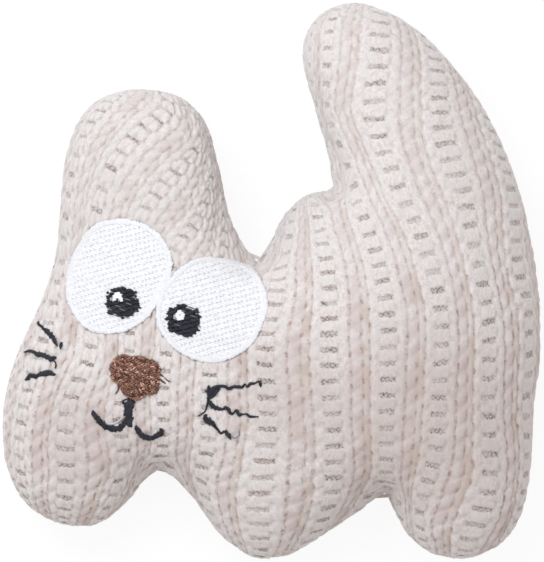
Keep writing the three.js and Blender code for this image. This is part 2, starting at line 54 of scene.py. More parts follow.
# %% [markdown]
# ## The outline and the stuffed form
#
# Two flat panels that are stuffed swell like a cushion. Near the seam the cloth stands upright, and
# it flattens towards the middle. One formula gives that: the square of the half thickness grows
# with the depth inside the outline. The depth is one over a mean of the nearness to all edges, so
# it is smooth everywhere, also where the head, feet and tail meet the body.

# %% Sizes of the form
overall_width = 97.2 * mm
overall_height = 100.4 * mm
front_edge_radius = 13.5 * mm
back_edge_radius = 14.5 * mm
back_depth_limit = 23 * mm
rest_cut = 0.5 * mm

outline_shares = [
    [
        [0.114, 0.160], [0.106, 0.216], [0.080, 0.305], [0.057, 0.395], [0.065, 0.446],
        [0.096, 0.482], [0.155, 0.499], [0.246, 0.467], [0.330, 0.394], [0.406, 0.288],
        [0.455, 0.178], [0.482, 0.074], [0.497, -0.036], [0.498, -0.142], [0.488, -0.215],
        [0.485, -0.286], [0.479, -0.358], [0.459, -0.428], [0.425, -0.472], [0.366, -0.499],
        [0.307, -0.493], [0.256, -0.461], [0.235, -0.428], [0.212, -0.381],
    ],
    [
        [0.212, -0.381], [0.188, -0.396], [0.138, -0.430], [0.082, -0.466], [0.030, -0.493],
        [-0.030, -0.498], [-0.086, -0.465], [-0.145, -0.393], [-0.177, -0.357], [-0.206, -0.338],
    ],
    [
        [-0.206, -0.338], [-0.230, -0.355], [-0.263, -0.393], [-0.306, -0.430], [-0.352, -0.442],
        [-0.413, -0.430], [-0.462, -0.393], [-0.489, -0.340], [-0.499, -0.270], [-0.488, -0.178],
        [-0.461, -0.106], [-0.427, -0.035], [-0.403, 0.037], [-0.395, 0.100], [-0.390, 0.170],
        [-0.380, 0.233], [-0.356, 0.291], [-0.313, 0.329], [-0.238, 0.345], [-0.162, 0.327],
        [-0.121, 0.282], [-0.098, 0.210], [-0.080, 0.130], [-0.056, 0.073], [-0.027, 0.034],
    ],
    [
        [-0.027, 0.034], [-0.002, 0.070], [0.019, 0.111], [0.052, 0.147], [0.085, 0.160],
        [0.114, 0.160],
    ],
]


def plan(shares):
    """Plan points from shares of the overall width and height, counted from the middle."""
    return np.asarray(shares, float) * [overall_width, overall_height]


def curve_through(knots, spacing, closed=False):
    """Evenly spaced points on a smooth curve through knots. Between two knots the curve is a cubic.
    Its slopes at the knots weigh the chords on both sides by the square roots of their lengths."""
    p = np.asarray(knots, float)
    ends = [p[-1:], p, p[:2]] if closed else [2 * p[:1] - p[1:2], p, 2 * p[-1:] - p[-2:-1]]
    k = np.vstack(ends)
    t = np.sqrt(np.linalg.norm(np.diff(k, axis=0), axis=1))[:, None]
    k0, k1, k2, k3 = k[:-3], k[1:-2], k[2:-1], k[3:]
    t0, t1, t2 = t[:-2], t[1:-1], t[2:]
    slope1 = ((k1 - k0) / t0 - (k2 - k0) / (t0 + t1) + (k2 - k1) / t1) * t1
    slope2 = ((k2 - k1) / t1 - (k3 - k1) / (t1 + t2) + (k3 - k2) / t2) * t1
    steps_per_knot = 24
    u = np.linspace(0, 1, steps_per_knot, endpoint=False)[None, :, None]
    cubic = (
        (2 * u**3 - 3 * u**2 + 1) * k1[:, None] + (u**3 - 2 * u**2 + u) * slope1[:, None]
        + (3 * u**2 - 2 * u**3) * k2[:, None] + (u**3 - u**2) * slope2[:, None]
    )
    fine = np.vstack([cubic.reshape(-1, p.shape[1]), p[:1] if closed else p[-1:]])
    along = np.r_[0, np.cumsum(np.linalg.norm(np.diff(fine, axis=0), axis=1))]
    count = max(3, int(round(along[-1] / spacing)))
    places = np.linspace(0, along[-1], count + 1)[: count if closed else None]
    return np.column_stack([np.interp(places, along, fine[:, n]) for n in range(p.shape[1])])


outline_step = 0.8 * mm
outline = np.vstack([curve_through(plan(s), outline_step)[:-1] for s in outline_shares])[::-1]
print("outline points:", len(outline))

# %% The depth inside the outline, on a fine plan grid
grid_step = 0.4 * mm
grid_margin = 2.4 * mm
grid_shift = 0.013  # of a step, so that no grid point falls on a point of the outline


def depth_inside(x, y):
    """Depth of plan points. The weight of a point is the sum over the outline's edges of the
    tangent of half the angle that the edge fills, times one over the distance to each of its two
    ends. The depth is one over the weight: about half the distance to the nearest edge."""
    flat = np.column_stack([x.ravel(), y.ravel()])
    depth = np.empty(len(flat))
    block = 4000
    for first in range(0, len(flat), block):
        a = outline[None] - flat[first : first + block, None]
        b = np.roll(a, -1, axis=1)
        near_a, near_b = np.hypot(a[..., 0], a[..., 1]), np.hypot(b[..., 0], b[..., 1])
        cross = a[..., 0] * b[..., 1] - a[..., 1] * b[..., 0]
        tangent = cross / (near_a * near_b + (a * b).sum(-1))
        depth[first : first + block] = 1 / (tangent * (1 / near_a + 1 / near_b)).sum(1)
    return depth.reshape(x.shape)


reach = np.array([overall_width, overall_height]) / 2 + grid_margin
grid_counts = np.ceil(2 * reach / grid_step).astype(int) + 1
grid_start = -(grid_counts - 1) / 2 * grid_step
grid_x, grid_y = np.meshgrid(
    *[grid_start[n] + (np.arange(grid_counts[n]) + grid_shift) * grid_step for n in (0, 1)],
    indexing="ij",
)
depth_grid = depth_inside(grid_x, grid_y)
slope_grid = np.gradient(depth_grid, grid_step)


def on_grid(values, x, y):
    """Values of a grid at plan points, mixed from the four nearest grid nodes."""
    u = np.clip((x - grid_x[0, 0]) / grid_step, 0, grid_counts[0] - 1.001)
    v = np.clip((y - grid_y[0, 0]) / grid_step, 0, grid_counts[1] - 1.001)
    i, j = u.astype(int), v.astype(int)
    u, v = u - i, v - j
    low = values[i, j] * (1 - u) + values[i + 1, j] * u
    high = values[i, j + 1] * (1 - u) + values[i + 1, j + 1] * u
    return low * (1 - v) + high * v


def half_square(depth, side):
    """The square of the half thickness at a depth, and its growth with depth. Near an edge the depth
    is half the distance to it, so four times a radius, times the depth, rounds the edge with that
    radius. The back's square levels off towards the square of its limit."""
    growth = 4 * (front_edge_radius if side > 0 else back_edge_radius)
    if side > 0:
        return growth * depth, np.full_like(depth, growth)
    full = growth * depth
    slack = 1 + np.maximum(full, 0) / back_depth_limit**2
    return full / slack, growth / slack**2


seam_height = np.sqrt(half_square(depth_grid.max(), -1)[0]) - rest_cut
print("deepest point:", round(depth_grid.max() / mm, 2), "mm; seam height:", round(seam_height / mm, 2))


def inside_form(points, side):
    """How far points lie inside the form, and the way out from each. Heights count from the seam."""
    x, y, z = points.T
    square, growth = half_square(on_grid(depth_grid, x, y), side)
    slope = np.column_stack([growth * on_grid(g, x, y) for g in slope_grid] + [-2 * z])
    steepness = np.linalg.norm(slope, axis=1)
    return (square - z * z) / steepness, -slope / steepness[:, None]


# %% [markdown]
# ## Camera, floor and light
#
# The picture looks straight down on the toy, from far away, so that nothing is foreshortened. The
# light is one big soft lamp from the upper left, a little cool, and an even surrounding, a little
# warm, as in a product picture on a white ground. The camera sees the world and the floor as
# white, but the floor keeps a faint shadow of the toy.

# %% Camera
picture_width = 97.92 * mm
picture_middle = (0.09 * mm, -0.09 * mm)
camera_distance = 4.0
sensor_width = 36

camera_data = bpy.data.cameras.new("camera")
camera_data.sensor_fit = "HORIZONTAL"
camera_data.sensor_width = sensor_width
camera_data.lens = sensor_width * camera_distance / picture_width
camera_data.clip_end = 2 * camera_distance
camera = bpy.data.objects.new("camera", camera_data)
camera.location = (*picture_middle, seam_height + camera_distance)
bpy.context.scene.collection.objects.link(camera)
bpy.context.scene.camera = camera
bpy.context.scene.view_settings.view_transform = "Standard"
print("lens:", round(camera_data.lens))


# %% Small helpers for material nodes
def new_material(name):
    """A material with its Principled shader, and the shader."""
    material = bpy.data.materials.new(name)
    material.use_nodes = True
    return material, material.node_tree, material.node_tree.nodes["Principled BSDF"]


def node(tree, kind, *inputs, **settings):
    """A new node. Its settings are given by name, and its inputs in order: a value, a socket, or
    None to leave one as it is."""
    made = tree.nodes.new(kind)
    for key, value in settings.items():
        setattr(made, key, value)
    for socket, value in zip(made.inputs, inputs):
        if isinstance(value, bpy.types.NodeSocket):
            tree.links.new(value, socket)
        elif value is not None:
            socket.default_value = value
    return made


def maths(tree, operation, *inputs):
    """One math node's result."""
    return node(tree, "ShaderNodeMath", *inputs, operation=operation).outputs[0]


def mixed(tree, share, first, second):
    """Two colours mixed by a share."""
    made = tree.nodes.new("ShaderNodeMix")
    made.data_type = "RGBA"
    for name, value in (("Factor_Float", share), ("A_Color", first), ("B_Color", second)):
        socket = next(s for s in made.inputs if s.identifier == name)
        if isinstance(value, bpy.types.NodeSocket):
            tree.links.new(value, socket)
        else:
            socket.default_value = value
    return next(s for s in made.outputs if s.identifier == "Result_Color")


def eased(tree, value, low, high, first=0.0, last=1.0):
    """A value mapped from low..high to first..last with an eased climb."""
    settings = dict(interpolation_type="SMOOTHSTEP")
    return node(tree, "ShaderNodeMapRange", value, low, high, first, last, **settings).outputs[0]


def noise(tree, place, size, detail, roughness=None, output=0):
    """Noise at a place, of about size waves to one unit of it."""
    return node(tree, "ShaderNodeTexNoise", place, None, size, detail, roughness).outputs[output]


def finish_surface(tree, shader, colour, height, bump_strength, bump_distance, **settings):
    """Link a colour and a bump height to a shader, and set its other sockets by name, with _ for
    each space."""
    bump = node(tree, "ShaderNodeBump")
    bump.inputs["Strength"].default_value = bump_strength
    bump.inputs["Distance"].default_value = bump_distance
    tree.links.new(height, bump.inputs["Height"])
    tree.links.new(bump.outputs["Normal"], shader.inputs["Normal"])
    tree.links.new(colour, shader.inputs["Base Color"])
    for name, value in settings.items():
        shader.inputs[name.replace("_", " ")].default_value = value


# %% Floor, world and lamps
floor_drop = 0.3 * mm
floor_half = 1.5
shadow_share = 0.16
floor_mesh = bpy.data.meshes.new("floor")
corners = [(-1, -1), (1, -1), (1, 1), (-1, 1)]
floor_corners = [(x * floor_half, y * floor_half, -floor_drop) for x, y in corners]
floor_mesh.from_pydata(floor_corners, [], [(0, 1, 2, 3)])
floor = bpy.data.objects.new("floor", floor_mesh)
bpy.context.scene.collection.objects.link(floor)
floor_material, floor_tree, floor_shader = new_material("pale_floor")
floor_shader.inputs["Roughness"].default_value = 0.9
floor_light = floor_tree.nodes.new("ShaderNodeLightPath")
floor_shader.inputs["Base Color"].default_value = (0.8, 0.8, 0.8, 1)
floor_glow = node(floor_tree, "ShaderNodeEmission")
floor_mix = node(floor_tree, "ShaderNodeMixShader")
glow_share = maths(floor_tree, "MULTIPLY", floor_light.outputs["Is Camera Ray"], 1 - shadow_share)
for source, socket in ((glow_share, 0), (floor_shader.outputs[0], 1), (floor_glow.outputs[0], 2)):
    floor_tree.links.new(source, floor_mix.inputs[socket])
floor_tree.links.new(floor_mix.outputs[0], floor_tree.nodes["Material Output"].inputs["Surface"])
floor_glow.inputs["Strength"].default_value = 1.06
floor_mesh.materials.append(floor_material)

world_light = 0.69
world_warmth = (1.0, 0.948, 0.93, 1)
world = bpy.data.worlds.new("studio")
bpy.context.scene.world = world
world.use_nodes = True
sky = world.node_tree
rays = node(sky, "ShaderNodeLightPath").outputs
any_seen = maths(sky, "MAXIMUM", rays["Is Camera Ray"], rays["Is Glossy Ray"])
any_seen = maths(sky, "MAXIMUM", any_seen, rays["Is Transmission Ray"])
strength = maths(sky, "ADD", world_light, maths(sky, "MULTIPLY", any_seen, 1 - world_light))
sky.links.new(strength, sky.nodes["Background"].inputs["Strength"])
tint = mixed(sky, any_seen, world_warmth, (1, 1, 1, 1))
sky.links.new(tint, sky.nodes["Background"].inputs["Color"])


def soft_lamp(name, place, power, size, colour):
    """A square lamp that looks at the toy."""
    light = bpy.data.lights.new(name, "AREA")
    light.energy = power
    light.size = size
    light.color = colour
    lamp = bpy.data.objects.new(name, light)
    lamp.location = place
    way = -np.array(place)
    flat = np.hypot(way[0], way[1])
    lamp.rotation_euler = (np.arctan2(flat, -way[2]), 0, np.arctan2(way[0], -way[1]) + np.pi)
    bpy.context.scene.collection.objects.link(lamp)


lamp_power = 1.23
soft_lamp(
    "key_lamp", place=(-0.115, 0.15, 0.375), power=lamp_power, size=0.28, colour=(0.875, 0.944, 1.0))
print("world light:", world_light, "key lamp:", lamp_power)

# %% [markdown]
# ## Helpers that make pieces
#
# Every new piece is arrays of points and faces put into a mesh at once. A piece keeps its own
# fabric coordinates as a UV map and may carry named values on its points, so that the materials can
# follow the knit and the strands.


# %% Put arrays into a piece
def make_piece(name, points, faces, material, uv=None, values=None):
    """A smooth piece in the toy's own frame from points counted from the seam and groups of faces
    with equally many corners. uv and values are per point."""
    mesh = bpy.data.meshes.new(name)
    sizes = np.concatenate([np.full(len(f), f.shape[1]) for f in faces])
    corner_points = np.concatenate([f.ravel() for f in faces]).astype(np.int32)
    mesh.vertices.add(len(points))
    mesh.vertices.foreach_set("co", (points + [0, 0, seam_height]).astype(np.float32).ravel())
    mesh.loops.add(len(corner_points))
    mesh.loops.foreach_set("vertex_index", corner_points)
    mesh.polygons.add(len(sizes))
    mesh.polygons.foreach_set("loop_start", np.r_[0, np.cumsum(sizes)[:-1]].astype(np.int32))
    mesh.polygons.foreach_set("use_smooth", np.ones(len(sizes), bool))
    mesh.update(calc_edges=True)
    if uv is not None:
        layer = mesh.uv_layers.new(name="fabric")
        layer.data.foreach_set("uv", uv[corner_points].astype(np.float32).ravel())
    for key, value in (values or {}).items():
        mesh.attributes.new(key, "FLOAT", "POINT").data.foreach_set("value", value.astype(np.float32))
    mesh.materials.append(material)
    piece = bpy.data.objects.new(name, mesh)
    bpy.context.scene.collection.objects.link(piece)
    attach(piece, "root")
    print(f"{name}: {len(points)} points, {len(sizes)} faces")
    return piece


def ring_faces(rings, count):
    """Quads between closed rings of equally many points that are numbered ring by ring."""
    index = np.arange(rings * count).reshape(rings, count)
    index = np.hstack([index, index[:, :1]])
    corners = [index[:-1, :-1], index[:-1, 1:], index[1:, 1:], index[1:, :-1]]
    return np.stack(corners, -1).reshape(-1, 4)


def wander(points, size, seed):
    """Smooth noise between -1 and 1 at points of any dimension: random values on a lattice of the
    given size, mixed between the nearest nodes with eased shares."""
    table_size, axes = 4096, points.shape[1]
    strides = np.array([73, 1181, 2753])[:axes]
    place = points / size + 100
    low = np.floor(place).astype(int)
    ease = (place - low) ** 2 * (3 - 2 * (place - low))
    table = np.random.default_rng(seed).uniform(-1, 1, table_size)
    total = np.zeros(len(points))
    for corner in np.ndindex(*[2] * axes):
        key = ((low + corner) * strides).sum(1) % table_size
        total += np.prod(np.where(corner, ease, 1 - ease), axis=1) * table[key]
    return total


def smooth_step(value, low, high):
    """Zero below low, one above high, and an eased climb between."""
    share = np.clip((value - low) / (high - low), 0, 1)
    return share * share * (3 - 2 * share)


# %% [markdown]
# ## Where the knit's columns run
#
# The knit repeats every four columns: an open ladder, and two cords between its rails. The panels
# were cut from a straight piece of it, so the columns run parallel, but the stuffing bends them.
# The picture shows where the ladders lie, as a few places on each. They are first unrolled: near
# the seam the cloth dives away from the eye, so a length on the cloth looks short. Then a thin
# plate is bent so that it stands at whole numbers on the ladders, and a second one across it
# counts the rungs.

# %% Places on the ladders
pixel = 0.18 * mm
picture_origin = np.array([271.5, 280.5])
ladder_pixels = {
    1: [(66, 490), (66, 417), (69, 400), (77, 386), (83, 370), (92, 355), (96, 212), (107, 178),
        (114, 160), (127, 146), (137, 134), (151, 122), (162, 115), (171, 100)],
    2: [(128, 460), (125, 449), (122, 436), (146, 209), (157, 196), (167, 183), (179, 171),
        (187, 159), (202, 142)],
    3: [(163, 447), (164, 413), (162, 397), (177, 246), (187, 235), (198, 226)],
    4: [(198, 472), (203, 460), (209, 444), (207, 429), (210, 377)],
    5: [(279, 268), (279, 285), (276, 301), (264, 333), (266, 366), (268, 400), (267, 435),
        (264, 465), (259, 494), (259, 530)],
    6: [(320, 234), (328, 268), (329, 300), (329, 371), (331, 404), (333, 421), (334, 453),
        (333, 494), (328, 507), (320, 527)],
    7: [(328, 26), (328, 45), (326, 77), (325, 108), (362, 214), (378, 260), (386, 300), (386, 400),
        (386, 457), (385, 484)],
    8: [(382, 26), (378, 100), (378, 140), (390, 170), (402, 200), (418, 230), (430, 263), (438, 296),
        (442, 332), (441, 367), (439, 400), (437, 436), (432, 467), (424, 490), (418, 510)],
    9: [(434, 52), (440, 106), (444, 140), (456, 170), (464, 200), (470, 230), (478, 263), (485, 298),
        (489, 340), (487, 400), (491, 460), (488, 494), (485, 510), (476, 524), (470, 538)],
    10: [(515, 204), (516, 236), (518, 268), (526, 292), (530, 342), (528, 389)],
}
gap_pixel = (329, 319)  # the middle of one gap between two rungs
wale_repeat = 10.3 * mm
course_height = 3.065 * mm
column_wander = dict(share=0.022, size=5 * mm)
course_wander = dict(share=0.09, size=7 * mm)


def from_picture(pixels):
    """Plan points from pixel places in the picture."""
    return (np.asarray(pixels, float) - picture_origin) * [pixel, -pixel]


def unroll(xy, outward):
    """Plan points moved out to where they lie on flat cloth. On a round edge of one radius, a point
    whose cloth is tilted by an angle lies radius times angle from the top, but shows only radius
    times the sine of it."""
    flat = np.hypot(outward[:, 0], outward[:, 1])
    tilt = np.arctan2(flat, np.abs(outward[:, 2]))
    out = front_edge_radius * (tilt - np.sin(tilt)) / np.maximum(flat, 1e-6)
    return xy + outward[:, :2] * out[:, None]


def front_points(xy, height=0.0):
    """Points on the front of the form at plan places, lifted off it by a height, and the way out."""
    square = half_square(np.maximum(on_grid(depth_grid, *xy.T), 1e-6), 1)[0]
    base = np.column_stack([xy, np.sqrt(square)])
    outward = inside_form(base, 1)[1]
    return base + outward * np.reshape(height, (-1, 1)), outward


pins = np.vstack([from_picture(pixels) for pixels in ladder_pixels.values()])
pins = unroll(pins, front_points(pins)[1])
pin_numbers = np.repeat(list(ladder_pixels), [len(pixels) for pixels in ladder_pixels.values()])


def plate_terms(cloth):
    """Terms of a thin plate at places on the cloth: for each pin, half the squared distance times
    its logarithm, and then one, x and y. Lengths are shares of the overall width."""
    square = ((cloth[:, None] - pins[None]) ** 2).sum(-1) / overall_width**2
    bends = square * np.log(np.maximum(square, 1e-20)) / 2
    return np.column_stack([bends, np.ones(len(cloth)), cloth / overall_width])


def fit_columns():
    """Weights of the terms for the column number and for the course number. The first plate may
    miss its pins a little, and so stays smooth. The second climbs square to the first, by one for
    each course."""
    give, every_sample, half = 1e-3, 60, 0.5 * mm
    at_pins = plate_terms(pins)
    flat = at_pins[:, -3:]
    bends = at_pins[:, :-3] + give * np.eye(len(pins))
    system = np.block([[bends, flat], [flat.T, np.zeros((3, 3))]])
    column_weights = np.linalg.solve(system, np.r_[pin_numbers, 0, 0, 0])

    on_toy = depth_grid > 0
    samples = np.column_stack([grid_x[on_toy], grid_y[on_toy]])[::every_sample]
    samples = unroll(samples, front_points(samples)[1])
    slopes = [
        (plate_terms(samples + step) - plate_terms(samples - step)) / (2 * half)
        for step in ([half, 0], [0, half])
    ]
    across = np.column_stack([slope @ column_weights for slope in slopes])
    across /= np.linalg.norm(across, axis=1)[:, None]
    aims = np.concatenate([-across[:, 1], across[:, 0]]) / course_height
    steady = 1e-2 * np.eye(len(column_weights)) / course_height
    rows = np.vstack([*slopes, steady])
    course_weights = np.linalg.lstsq(rows, np.r_[aims, np.zeros(len(steady))], rcond=None)[0]
    start = from_picture([gap_pixel])
    start = unroll(start, front_points(start)[1])
    course_weights[len(pins)] += 0.5 - (plate_terms(start) @ course_weights)[0] % 1
    miss = np.abs(at_pins @ column_weights - pin_numbers).max()
    print("worst ladder miss:", round(miss, 3), "columns")
    return column_weights, course_weights


column_weights, course_weights = fit_columns()


def fabric_places(xy, outward, side):
    """Column and course numbers at points of the cloth, with the small wander of a soft knit. The
    back panel's columns run straight."""
    cloth = unroll(xy, outward)
    if side > 0:
        columns, courses = np.empty(len(cloth)), np.empty(len(cloth))
        block = 40000
        for first in range(0, len(cloth), block):
            terms = plate_terms(cloth[first : first + block])
            columns[first : first + block] = terms @ column_weights
            courses[first : first + block] = terms @ course_weights
    else:
        columns, courses = cloth[:, 0] / wale_repeat + 0.5, cloth[:, 1] / course_height
    columns = columns + column_wander["share"] * wander(cloth, column_wander["size"], 1)
    courses = courses + course_wander["share"] * wander(cloth, course_wander["size"], 2)
    return columns, courses


# %% How far the ladders are stretched open
openness_spots = [
    ((75, 150), 0.10), ((140, 120), 0.15), ((190, 180), 0.25), ((80, 230), 0.10), ((200, 240), 0.35),
    ((30, 400), 0.15), ((30, 480), 0.35), ((66, 470), 0.60), ((100, 500), 0.50), ((110, 380), 0.40),
    ((150, 430), 0.50), ((200, 400), 0.45), ((210, 470), 0.60), ((260, 420), 0.95), ((260, 520), 0.85),
    ((290, 250), 0.55), ((330, 350), 1.0), ((330, 500), 0.85), ((400, 300), 1.0), ((400, 440), 1.0),
    ((450, 520), 0.75), ((500, 420), 0.85), ((510, 280), 0.8), ((440, 180), 0.85), ((350, 60), 0.6),
    ((440, 70), 0.7), ((330, 120), 0.6),
]


def openness(xy):
    """How open the ladders are, from zero to one: the mean of listed spots, weighed by the
    inverse fourth power of the distance to each."""
    spots = from_picture([place for place, _ in openness_spots])
    shares = np.array([share for _, share in openness_spots])
    blur = 4 * mm
    weight = 1 / (((xy[:, None] - spots[None]) ** 2).sum(-1) + blur**2) ** 2
    return (weight * shares).sum(1) / weight.sum(1)


# %% [markdown]
# ## The relief of the knit
#
# A chenille stitch is a soft bead. Beads run in columns: a rail on each side of the ladder, then a
# wide and a narrow cord that lie a little lower. In the ladder, plump rungs stand between the
# rails, with a small gap under each. The relief of a point is the height of the highest column
# there, and each column is round across and pinched once a course.

# %% Heights of the knit's columns
column_shapes = {
    "right_rail": dict(middle=0.242, half=0.096, top=0.03, phase=0.30, slant=0.22),
    "wide_cord": dict(middle=0.441, half=0.108, top=-0.10, phase=0.05, slant=-0.24),
    "narrow_cord": dict(middle=0.6145, half=0.070, top=-0.14, phase=0.55, slant=0.22),
    "left_rail": dict(middle=0.766, half=0.088, top=0.03, phase=0.25, slant=-0.22),
}
column_drop = 0.40 * mm
deepest_groove = -0.8 * mm
deepest_closed_ladder = -0.6 * mm
rung_top = 0.02 * mm
ladder_half = 0.150
closed_knit = dict(bead=0.64 * mm, rung_half=0.93, rung_drop=0.20 * mm, gap_floor=-0.30 * mm)
open_knit = dict(bead=0.26 * mm, rung_half=0.78, rung_drop=0.09 * mm, gap_floor=-0.18 * mm)


def knit_height(columns, courses, open_share):
    """Height of the cloth at column and course numbers, zero on the rails and negative below. Where
    the ladders are closed, the beads are plumper and the gaps thinner."""
    size = {
        key: closed + (open_knit[key] - closed) * open_share for key, closed in closed_knit.items()
    }
    share = columns % 1
    height = np.full(len(share), deepest_groove)

    def beads(across, phase, slant):
        pinch = np.cos(np.pi * (courses + phase + slant * across)) ** 6
        pinch = pinch * (0.6 + 0.4 * np.minimum(across**2, 1))
        round_top = np.sqrt(np.clip(1 - np.abs(across) ** 2.4, 0, 1))
        return -column_drop * (1 - round_top) - size["bead"] * pinch

    for shape in column_shapes.values():
        across = (share - shape["middle"]) / shape["half"]
        level = shape["top"] * mm + beads(across, shape["phase"], shape["slant"])
        height = np.where(np.abs(across) < 1, np.maximum(height, level), height)
    off_ladder = (share + 0.5) % 1 - 0.5
    off_rung = np.abs((courses + 0.5) % 1 - 0.5) * 2
    rung = np.sqrt(np.clip(1 - (off_rung / size["rung_half"]) ** 2.2, 0, 1))
    in_rung = rung_top - size["rung_drop"] * (1 - rung)
    into_gap = smooth_step(off_rung, size["rung_half"] - 0.10, size["rung_half"] + 0.02)
    open_level = in_rung + (size["gap_floor"] - in_rung) * into_gap
    closed_level = beads((np.abs(off_ladder) - ladder_half / 2) / (ladder_half * 0.56), 0.5, 0.25)
    closed_level = np.maximum(closed_level, deepest_closed_ladder)
    floor_level = closed_level + (open_level - closed_level) * smooth_step(open_share, 0.25, 0.7)
    ladder_end = ladder_half * 1.12
    into_rail = smooth_step(np.abs(off_ladder), ladder_half * 0.86, ladder_end)
    across_edge = floor_level * (1 - into_rail) + np.maximum(height, floor_level) * into_rail
    return np.where(np.abs(off_ladder) < ladder_end, across_edge, height)


# %% [markdown]
# ## The chenille knit's material
#
# Chenille is a pile of short fibres, so it has no gloss and a bright soft edge: sheen does that.
# The colour is cream. The cords are pinkish and tan, partly their own tint and partly painted
# shade, and painted shade lies down in the grooves and hollows. In the ladder gaps thin dark
# threads cross; their dark is partly painted shade of the hole behind. They follow the fabric
# coordinates that each panel carries. Broad patches of painted shade darken the lower right, the
# paw, the middle and the ear.

# %% Fibre group: fine soft pile for the inner pieces
def fibre_group():
    """Bump height of short fibres: two fine noises, one finer than the other, on Object places."""
    group = bpy.data.node_groups.new("short_fibres", "ShaderNodeTree")
    for name, way in (("Size", "INPUT"), ("Height", "OUTPUT")):
        group.interface.new_socket(name, in_out=way, socket_type="NodeSocketFloat")
    size = node(group, "NodeGroupInput").outputs["Size"]
    place = node(group, "ShaderNodeTexCoord").outputs["Object"]
    coarse = noise(group, place, size, 2.0)
    fine = noise(group, place, maths(group, "MULTIPLY", size, 2.7), 2.0)
    both = maths(group, "ADD", coarse, maths(group, "MULTIPLY", fine, 0.5))
    group.links.new(both, node(group, "NodeGroupOutput").inputs["Height"])
    return group


short_fibres = fibre_group()

# %% Knit material
cream = (0.598, 0.542, 0.526, 1)
cream_light = (0.725, 0.678, 0.665, 1)
grey_patch = (0.655, 0.635, 0.612, 1)
# The cords' tints: partly their own colour, partly painted shade of the lower cords.
wide_cord_tint_and_shade = (0.580, 0.500, 0.485, 1)
narrow_cord_tint_and_shade = (0.540, 0.455, 0.407, 1)
# Painted shade: where the cloth lies low, and in lines down the grooves and the ladder's edges.
groove_shade = (0.455, 0.335, 0.295, 1)
# Painted shade of the dimples between beads, a spot once a course.
dot_shade = (0.32, 0.215, 0.18, 1)
# Painted shade patches: warmer low right, on the paw and the middle; greyer on the ear.
painted_tan_shade = (0.475, 0.395, 0.36, 1)
painted_grey_shade = (0.50, 0.475, 0.455, 1)
painted_shade_patches = [
    dict(middle=(28 * mm, -25 * mm, 27 * mm), near=6 * mm, far=27 * mm, share=0.52, colour=painted_tan_shade),
    dict(middle=(-34 * mm, -28 * mm, 25 * mm), near=5 * mm, far=14 * mm, share=0.40, colour=painted_tan_shade),
    dict(middle=(3 * mm, -20 * mm, 31 * mm), near=3 * mm, far=14 * mm, share=0.36, colour=painted_tan_shade),
    dict(middle=(-30 * mm, 12 * mm, 27 * mm), near=6 * mm, far=20 * mm, share=0.18, colour=painted_grey_shade),
]
# The threads that cross the ladder gaps; their dark is partly painted shade of the hole behind.
gap_threads_and_shade = (0.15, 0.115, 0.10, 1)
mesh_pale = (0.50, 0.44, 0.415, 1)
fray = (0.07, 0.34, 0.0)  # how far tufts pull the pattern, in columns and courses
tufts_per_repeat = (22.0, 3.4, 1.0)
faded_tips = (-12 * mm, 14 * mm)  # where the marks fade on the way to the ear and tail tips
zigzags_per_repeat = 11.0
zigzag_unrest = 1.6
zigzag_slope = 3.2
# Lines of painted shade down the grooves between the columns and along the ladder's edges.
groove_lines = [
    dict(middle=0.338, half=0.017, strength=0.9, phase=0.30),
    dict(middle=0.549, half=0.017, strength=0.8, phase=0.05),
    dict(middle=0.684, half=0.015, strength=0.9, phase=0.55),
]
ladder_edges = [
    dict(middle=0.0, half=0.012, strength=0.7, phase=0.0),
    dict(middle=0.152, half=0.012, strength=0.8, phase=0.62),
    dict(middle=0.850, half=0.012, strength=0.8, phase=0.80),
]


